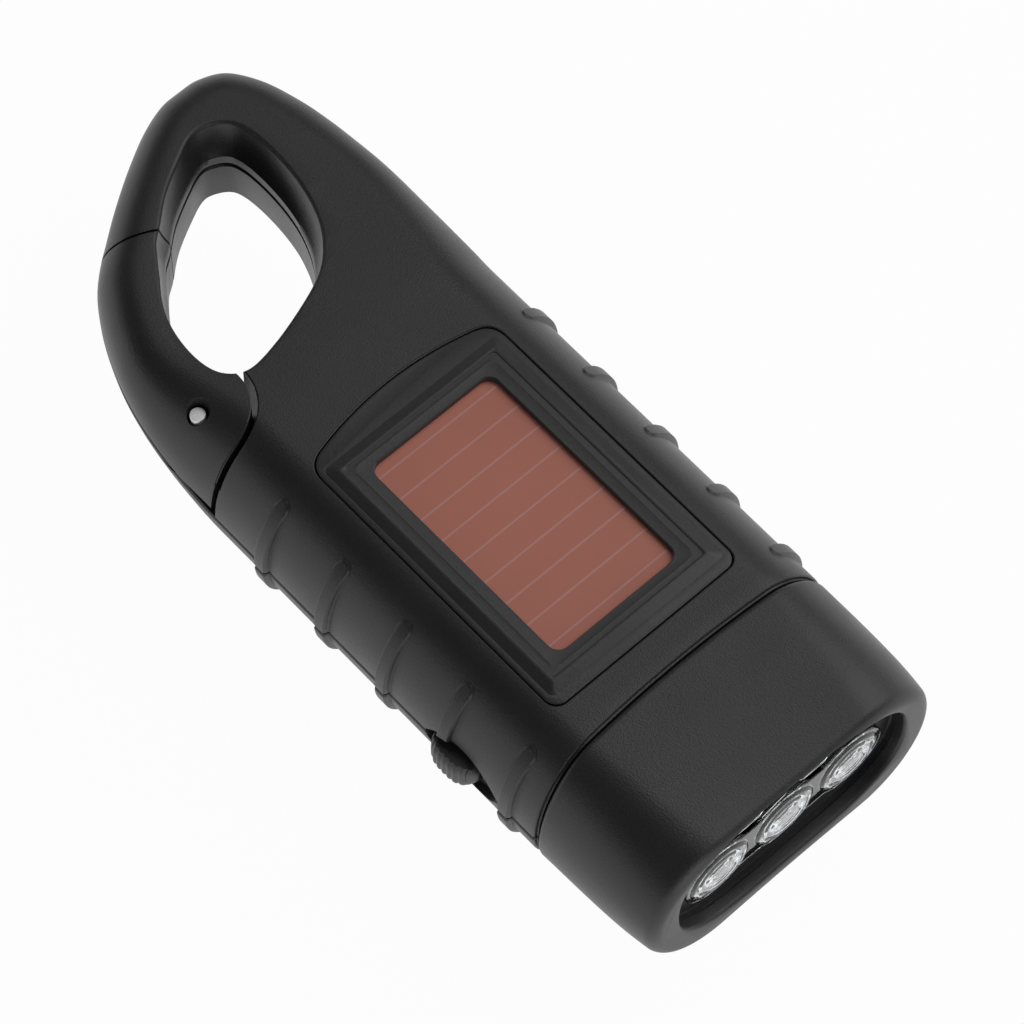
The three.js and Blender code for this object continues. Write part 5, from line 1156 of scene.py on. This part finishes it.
class FLASHLIGHT_OT_bezel(bpy.types.Operator):
    """Make the framed bezel round the solar cell."""

    bl_idname = "flashlight.bezel"
    bl_label = "Solar bezel"

    def execute(self, context):
        plate = stacked("bezel_frame", bezel_outline, (
            (0, BEZEL_BOTTOM_Z), (0, TOP_Z - 0.3), (-0.06, TOP_Z - 0.1), (-0.3, TOP_Z)))

        def ridge(grow):
            half = RIDGE_HALF + grow
            corner = 0.4 + max(grow, 0) * 0.3
            return rounded_box(RIDGE_X[0] - grow, RIDGE_X[1] + grow, -half, half, corner, 4)

        ridge_z = RIDGE_Z - RIDGE_DROP
        combine(plate, stacked("rise", ridge, (
            (1.3, TOP_Z - 1), (1.3, TOP_Z + 0.02), (0.12, ridge_z - 0.08), (-0.1, ridge_z))), "UNION")

        def slope(share):
            pairs = [(WINDOW_X[0], RIDGE_X[0]), (WINDOW_X[1], RIDGE_X[1]),
                     (WINDOW_HALF, RIDGE_HALF), (1.8, 0.3)]
            x0, x1, half, corner = [a + (b - a) * share for a, b in pairs]
            return rounded_box(x0, x1, -half, half, corner, 8)

        lip_z = CELL_TOP_Z + 1.0
        combine(plate, stacked("slope", slope, (
            (0, CELL_TOP_Z - 6), (0, lip_z - 0.12), (0.04, lip_z), (0.45, lip_z + 0.03),
            (0.5, lip_z + 0.07), (0.56, lip_z + 0.03), (0.78, lip_z + 0.05), (0.82, lip_z + 0.16),
            (0.88, ridge_z + 0.01), (1.0, RIDGE_Z + 3))))
        seat_x, seat_half = (WINDOW_X[0] - 0.6, WINDOW_X[1] + 0.6), WINDOW_HALF + 0.6
        seat_z = (BEZEL_BOTTOM_Z - OVERRUN, CELL_TOP_Z)
        combine(plate, block("seat", seat_x, (-seat_half, seat_half), seat_z))
        finish(plate, "body", "shell_plastic", "solar_bezel", look="bezel_plastic", degrees=20)
        return {"FINISHED"}


def bowl_profile():
    """The inside of a cup: a steep bowl with fine ripples, and a step for the lens."""
    profile = [(LED_FLANGE, -3)]
    for i in range(49):
        share = (i / 48) ** 1.6
        ripple = BOWL_RIPPLE * math.sin(share * 12 * math.pi) * (1 - share)
        profile.append((LED_FLANGE + 2.25 * math.sqrt(share) + ripple, share * BOWL_DEPTH))
    return capped(profile + [(CUP_RADIUS - 0.05, 5.7), (CUP_RADIUS, 5.9), (CUP_RADIUS, 9)])


def dome_profile():
    """The lens over a cup: a low dome with ring-shaped ripples."""
    profile = [(DOME_RADIUS, 0.1), (DOME_RADIUS, LENS_THICKNESS - 0.05)]
    for i in range(1, 48):
        share = i / 48
        radius = DOME_RADIUS * math.cos(share * math.pi / 2)
        ripple = DOME_RIPPLE * math.cos(radius * 2 * math.pi / DOME_RIPPLE_PITCH) * (1 - share)
        rise = DOME_RISE * math.sin(share * math.pi / 2)
        profile.append((radius, LENS_THICKNESS + rise + ripple))
    return [(AXIS, 0.1)] + profile + [(AXIS, LENS_THICKNESS + DOME_RISE)]


def led_profile():
    """An LED: a flange, a straight body and a round nose."""
    flange, radius = LED_FLANGE, LED_RADIUS
    profile = [(AXIS, 0), (flange, 0), (flange, 0.85), (flange - 0.1, 1.0), (radius, 1.0)]
    for i in range(16):
        angle = i / 16 * math.pi / 2
        profile.append((radius * math.cos(angle), LED_STRAIGHT + radius * math.sin(angle)))
    return profile + [(AXIS, LED_STRAIGHT + radius)]


class FLASHLIGHT_OT_light(bpy.types.Operator):
    """Make the chrome cups, the clear strip over them and the three LEDs."""

    bl_idname = "flashlight.light"
    bl_label = "Light"

    def execute(self, context):
        front = forward("reflector_cups", strip_outline, (
            (0.0, FLANGE_X[0]), (0.0, CUP_FRONT_X - STRIP_BEVEL), (-STRIP_BEVEL, CUP_FRONT_X)))
        flange_z = (LIGHT_Z - FLANGE_HEIGHT, LIGHT_Z + FLANGE_HEIGHT)
        flange = block("flange", FLANGE_X, (-FLANGE_HALF, FLANGE_HALF), flange_z)
        combine(front, flange, "UNION")
        outside = capped([(3.5, 0), (STRIP_RADIUS, 3.3), (STRIP_RADIUS, 3.5)])
        for y in CUPS_Y:
            back = turned("cup_back", outside, (CUP_BACK_X, y, LIGHT_Z), 0)
            combine(front, back, "UNION")
        for y in CUPS_Y:
            combine(front, turned("bowl", bowl_profile(), (CUP_BACK_X, y, LIGHT_Z), 0, 128))
        for y in POSTS_Y:
            rod = capped([(POST_RADIUS, 0), (POST_RADIUS, 6.5)])
            combine(front, turned("post", rod, (LED_BACK_X, y, LIGHT_Z), 0, 48), "UNION")
        finish(front, "body", "reflector_chrome", "reflector")

        lens_x = CUP_FRONT_X + LENS_THICKNESS
        strip = forward("lens_strip", strip_outline, (
            (0.0, CUP_FRONT_X), (0.0, lens_x - STRIP_BEVEL), (-STRIP_BEVEL, lens_x)))
        for y in CUPS_Y:
            dome = turned("dome", dome_profile(), (CUP_FRONT_X, y, LIGHT_Z), 0)
            combine(strip, dome, "UNION")
        finish(strip, "body", "clear_plastic", "front_lens")

        for index, y in enumerate(CUPS_Y, 1):
            led = turned(f"led_bulb_{index}", led_profile(), (LED_BACK_X, y, LIGHT_Z), 0, 64)
            finish(led, "body", "led_epoxy", f"led_{index}")
        return {"FINISHED"}


class FLASHLIGHT_OT_switch(bpy.types.Operator):
    """Make the ribbed button of the slide switch."""

    bl_idname = "flashlight.switch"
    bl_label = "Switch button"

    def execute(self, context):
        floor_y, inner_y = BUTTON_FLOOR_Y, BUTTON_INNER_Y
        outer_y = -HALF_WIDTH - BUTTON_PROUD
        # Rings along the button, whose crown falls to its ends and has ribs across its middle
        rings = []
        count = 120
        for j in range(count + 1):
            u = 1 - 2 * j / count
            x = BUTTON_X + u * BUTTON_HALF
            crown = outer_y + (floor_y - outer_y) * 0.8 * abs(u) ** 3.4
            if abs(u) < 0.78:
                crown += BUTTON_RIB_HEIGHT * (0.5 - 0.5 * math.cos(u * 9 * math.pi)) ** 1.5
            height = BUTTON_HEIGHT * (1 - max(0.0, (abs(u) - 0.6) / 0.4) ** 2 * 0.55)
            shares = [-1 + 2 * k / 16 for k in range(17)]
            top = [(x, crown + 0.55 * abs(t) ** 4, PARTING_Z + t * height) for t in shares]
            rings.append([(x, floor_y, PARTING_Z - height)] + top + [(x, floor_y, PARTING_Z + height)])
        button = loft("switch_slider", rings)
        for name, half, y, half_height in (
            ("neck", 1.5, (floor_y - 0.3, inner_y + 0.3), 0.8),
            ("retainer", BUTTON_HALF, (inner_y, inner_y + 0.8), BUTTON_HEIGHT),
            ("lever", 0.65, (inner_y + 0.2, LEVER_END_Y), 0.65),
        ):
            x, z = [(middle - reach, middle + reach)
                    for middle, reach in ((BUTTON_X, half), (PARTING_Z, half_height))]
            combine(button, block(name, x, y, z), "UNION")
        finish(button, "switch", "trim_plastic", "switch_button")
        return {"FINISHED"}


def hinge_hole(hinge):
    """A cutter for the hole of the knob's hinge pin."""
    return turned("pin_hole", [(HINGE_HOLE_RADIUS, -12), (HINGE_HOLE_RADIUS, 12)], hinge, 1, 48)


def make_arm(high, hinge):
    """The arm with its round hub, the knob's slot, the screw's recess and the shaft's socket."""
    end_x, half = CRANK_X - CRANK_LENGTH, CRANK_HALF_WIDTH

    def lever(grow):
        return (circle(end_x, 0, half + grow, 48, math.pi / 2, math.pi, True)
                + circle(CRANK_X, 0, half + grow, 24, -math.pi / 2, math.pi, True))

    def slot(grow):
        reach = SLOT_HALF + grow
        return rounded_box(SLOT_X[0] - grow, SLOT_X[1] + grow, -reach, reach, 0.8 + grow, 8)

    def hub(grow):
        return circle(CRANK_X, 0, HUB_RADIUS + grow, 160)

    arm = softened("crank_lever", lever, 0, high, CRANK_EDGE)
    combine(arm, softened("hub", hub, 0, high, CRANK_EDGE), "UNION")
    steps = [(0.9, -3), (0.75, 0), (0.4, 0.15), (0.12, 0.45), (0, 0.9)]
    combine(arm, stacked("slot", slot, mirrored(steps, high)))
    recess = [(4.6, -3), (4.5, 0), (4.15, 0.3), (4.0, 0.6), (4.0, SCREW_SEAT_Z),
              (1.6, SCREW_SEAT_Z), (1.6, 4)]
    combine(arm, turned("recess", capped(recess), (CRANK_X, 0, 0)))
    socket = circle(CRANK_X, 0, SOCKET_RADIUS, 6, math.pi / 2)
    combine(arm, upright("socket", socket, SOCKET_Z, high + OVERRUN))
    ring = [(x, y, 0.0) for x, y in circle(CRANK_X, 0, HUB_GROOVE_RADIUS, 160)]
    combine(arm, groove(ring, HUB_GROOVE_DEPTH, sides=12))
    combine(arm, hinge_hole(hinge))
    finish(arm, "crank", "shell_plastic", "crank_arm")


def make_sleeve(middle_z):
    """The ribbed sleeve that turns on the knob's post."""
    start, end = extent("knob_sleeve", 0)
    length_x = end - start
    radius = extent("knob_sleeve", 2)[1] - middle_z
    profile = []
    for i in range(121):
        share = i / 120
        place = share * length_x
        rounding = 0.5 * max(0.0, 1 - min(place, length_x - place) / 0.7) ** 2
        groove_depth = 0.0
        if 0.08 < share < 0.92:
            wave = 0.5 - 0.5 * math.cos(share * KNOB_RIB_COUNT * 2 * math.pi)
            groove_depth = KNOB_RIB_HEIGHT * wave ** 2
        profile.append((radius - rounding - groove_depth, place))
    centre = (start, 0, middle_z)
    sleeve = turned("knob_grip", capped(profile), centre, 0)
    for bore, low in ((KNOB_BORE_RADIUS, -2), (KNOB_RECESS_RADIUS, length_x - KNOB_RECESS_DEPTH)):
        combine(sleeve, turned("bore", [(bore, low), (bore, length_x + 2)], centre, 0, 64))
    finish(sleeve, "knob", "trim_plastic", "knob_sleeve")


class FLASHLIGHT_OT_crank(bpy.types.Operator):
    """Make the crank arm, its screw, and the knob that folds out of the arm."""

    bl_idname = "flashlight.crank"
    bl_label = "Crank and knob"

    def execute(self, context):
        arm_high = extent("crank_arm", 2)[1]
        pin_z = arm_high / 2
        hinge = (extent("knob_hinge_pin", 0)[0] + HINGE_RADIUS, 0, pin_z)
        make_arm(arm_high, hinge)

        screw = cross_headed_screw("crank_screw_head", CRANK_X, 0, extent("crank_screw", 2),
                                   CRANK_SCREW_HEAD, 1.3, (1.5, 0.9), 64)
        finish(screw, "crank", "steel", "crank_screw")

        reach = extent("knob_hinge_pin", 1)[1]
        rod = mirrored([(HINGE_RADIUS - 0.3, -reach), (HINGE_RADIUS, 0.3 - reach)])
        pin = turned("hinge_pin", capped(rod), hinge, 1, 48)
        finish(pin, "crank", "steel", "knob_hinge_pin")

        eye = extent("knob_post", 1)[1]
        ring = mirrored([(EYE_RADIUS - 0.3, -eye), (EYE_RADIUS - 0.1, 0.1 - eye), (EYE_RADIUS, 0.3 - eye)])
        post = turned("knob_spindle", capped(ring), hinge, 1, 64)
        tip = extent("knob_post", 0)[1] - hinge[0]
        cap = SPINDLE_CAP_RADIUS
        spindle = [(SPINDLE_RADIUS, 2), (SPINDLE_RADIUS, tip - 1), (cap - 0.1, tip - 1),
                   (cap, tip - 0.9), (cap, tip - 0.25), (cap - 0.25, tip)]
        combine(post, turned("spindle", capped(spindle), hinge, 0, 64), "UNION")
        combine(post, hinge_hole(hinge))
        finish(post, "knob_frame", "steel", "knob_post")
        make_sleeve(pin_z)
        return {"FINISHED"}


class FLASHLIGHT_OT_shell_screws(bpy.types.Operator):
    """Make the cross-headed screws that hold the shells together."""

    bl_idname = "flashlight.shell_screws"
    bl_label = "Shell screws"

    def execute(self, context):
        for index in range(1, len(SHELL_SCREWS) + 1):
            cad_name = f"shell_screw_{index}"
            x, y = [sum(extent(cad_name, axis)) / 2 for axis in (0, 1)]
            screw = cross_headed_screw(f"shell_screw_head_{index}", x, y, extent(cad_name, 2),
                                       SHELL_SCREW_HEAD, 1.1, (1.25, 0.8), 48)
            finish(screw, "body", "black_steel", cad_name)
        return {"FINISHED"}


class FLASHLIGHT_OT_finishes(bpy.types.Operator):
    """Make the finishes and give them to the parts carried over from the CAD model."""

    bl_idname = "flashlight.finishes"
    bl_label = "Finishes"

    def execute(self, context):
        build_finishes()
        return {"FINISHED"}


# Floor, surroundings, lamps and camera

def floor_material(color):
    """Pale floor that looks evenly white to the camera and can be seen through from below."""
    material, tree, shader = bare_material("floor")
    fill(tree, shader, {"Base Color": (*color, 1), "Roughness": 0.9, "Specular IOR Level": 0.1})
    path = node(tree, "LightPath").outputs
    bounced = maths(tree, "ADD", path["Is Glossy Ray"], path["Is Transmission Ray"], use_clamp=True)
    seen = maths(tree, "ADD", path["Is Camera Ray"], bounced, use_clamp=True)
    white = node(tree, "Emission").outputs[0]
    mixed = node(tree, "MixShader", {
        0: maths(tree, "MULTIPLY", seen, 0.97), 1: shader.outputs[0], 2: white})
    one_sided = node(tree, "MixShader", {
        0: node(tree, "NewGeometry").outputs["Backfacing"], 1: mixed.outputs[0],
        2: node(tree, "BsdfTransparent").outputs[0]})
    fill(tree, tree.nodes["Material Output"], {"Surface": one_sided.outputs[0]})
    return material


def studio_world():
    """Plain white for the camera, and for reflections a bright low band and a faint glow overhead."""
    world = bpy.data.worlds.new("studio")
    world.use_nodes = True
    sky = world.node_tree
    place = node(sky, "TexCoord").outputs["Generated"]
    up = node(sky, "SeparateXYZ", {0: place}).outputs["Z"]
    bands = [node(sky, "MapRange", {
        "Value": up, "From Min": low, "From Max": high, "To Min": start, "To Max": end},
        interpolation_type="SMOOTHSTEP").outputs["Result"]
        for low, high, start, end in ((0.02, 0.36, 1.25, 0.03), (0.6, 0.9, 0.0, 0.03))]
    level = node(sky, "Mix", {
        "A": maths(sky, "ADD", *bands), "B": 1.0,
        "Factor": node(sky, "LightPath").outputs["Is Camera Ray"]}, data_type="FLOAT")
    fill(sky, sky.nodes["Background"], {
        "Color": (1, 1, 1, 1), "Strength": level.outputs["Result"]})
    return world


class FLASHLIGHT_OT_stage(bpy.types.Operator):
    """Make the floor, the soft lights and the camera."""

    bl_idname = "flashlight.stage"
    bl_label = "Stage"

    def execute(self, context):
        scene = context.scene
        deselect()
        bpy.ops.mesh.primitive_plane_add(size=6.0, location=(0, 0, 0))
        floor = context.object
        floor.name = "floor"
        floor.data.materials.append(floor_material(scene.flashlight_finishes.floor))
        scene.world = studio_world()

        for name, place, size, power in LAMPS:
            bpy.ops.object.light_add(type="AREA", location=place)
            lamp = context.object
            lamp.name = name
            lamp.data.size = size
            lamp.data.energy = power
            aim = Vector((0, 0, 0.02)) - Vector(place)
            lamp.rotation_euler = aim.to_track_quat("-Z", "Y").to_euler()

        azimuth, elevation = math.radians(CAMERA_AZIMUTH), math.radians(CAMERA_ELEVATION)
        level = math.cos(elevation)
        away = Vector((math.sin(azimuth) * level, -math.cos(azimuth) * level, math.sin(elevation)))
        target = Vector(CAMERA_TARGET) * MM
        bpy.ops.object.camera_add(location=target + away * CAMERA_DISTANCE)
        camera = context.object
        camera.name = "camera"
        camera.rotation_euler = (-away).to_track_quat("-Z", "Y").to_euler()
        camera.data.lens = CAMERA_LENS
        camera.data.sensor_width = CAMERA_SENSOR
        camera.data.clip_start, camera.data.clip_end = 0.01, 20
        scene.camera = camera
        scene.view_settings.view_transform = "Standard"
        return {"FINISHED"}


OPERATORS = (
    FLASHLIGHT_OT_finishes, FLASHLIGHT_OT_shells, FLASHLIGHT_OT_gate, FLASHLIGHT_OT_head,
    FLASHLIGHT_OT_bezel, FLASHLIGHT_OT_light, FLASHLIGHT_OT_switch, FLASHLIGHT_OT_crank,
    FLASHLIGHT_OT_shell_screws, FLASHLIGHT_OT_stage,
)


class FLASHLIGHT_PT_panel(bpy.types.Panel):
    """Lists the sizes, the finishes and the steps that make the flashlight."""

    bl_idname = "FLASHLIGHT_PT_panel"
    bl_label = "Hand Crank Flashlight"
    bl_space_type = "VIEW_3D"
    bl_region_type = "UI"
    bl_category = "Flashlight"

    def draw(self, context):
        for settings in (context.scene.flashlight_sizes, context.scene.flashlight_finishes):
            for name in settings.__annotations__:
                self.layout.prop(settings, name)
        for step in OPERATORS:
            self.layout.operator(step.bl_idname)


CLASSES = (FlashlightSizes, FlashlightFinishes, *OPERATORS, FLASHLIGHT_PT_panel)


def register():
    """Register the classes, and the sizes and finishes as scene settings."""
    for kind in CLASSES:
        bpy.utils.register_class(kind)
    bpy.types.Scene.flashlight_sizes = PointerProperty(type=FlashlightSizes)
    bpy.types.Scene.flashlight_finishes = PointerProperty(type=FlashlightFinishes)


def unregister():
    """Take away what register adds."""
    del bpy.types.Scene.flashlight_finishes
    del bpy.types.Scene.flashlight_sizes
    for kind in reversed(CLASSES):
        bpy.utils.unregister_class(kind)


def main():
    """Register the classes and build every piece through its operator."""
    register()
    for step in OPERATORS:
        group, name = step.bl_idname.split(".")
        getattr(getattr(bpy.ops, group), name)()


if __name__ == "__main__":
    main()
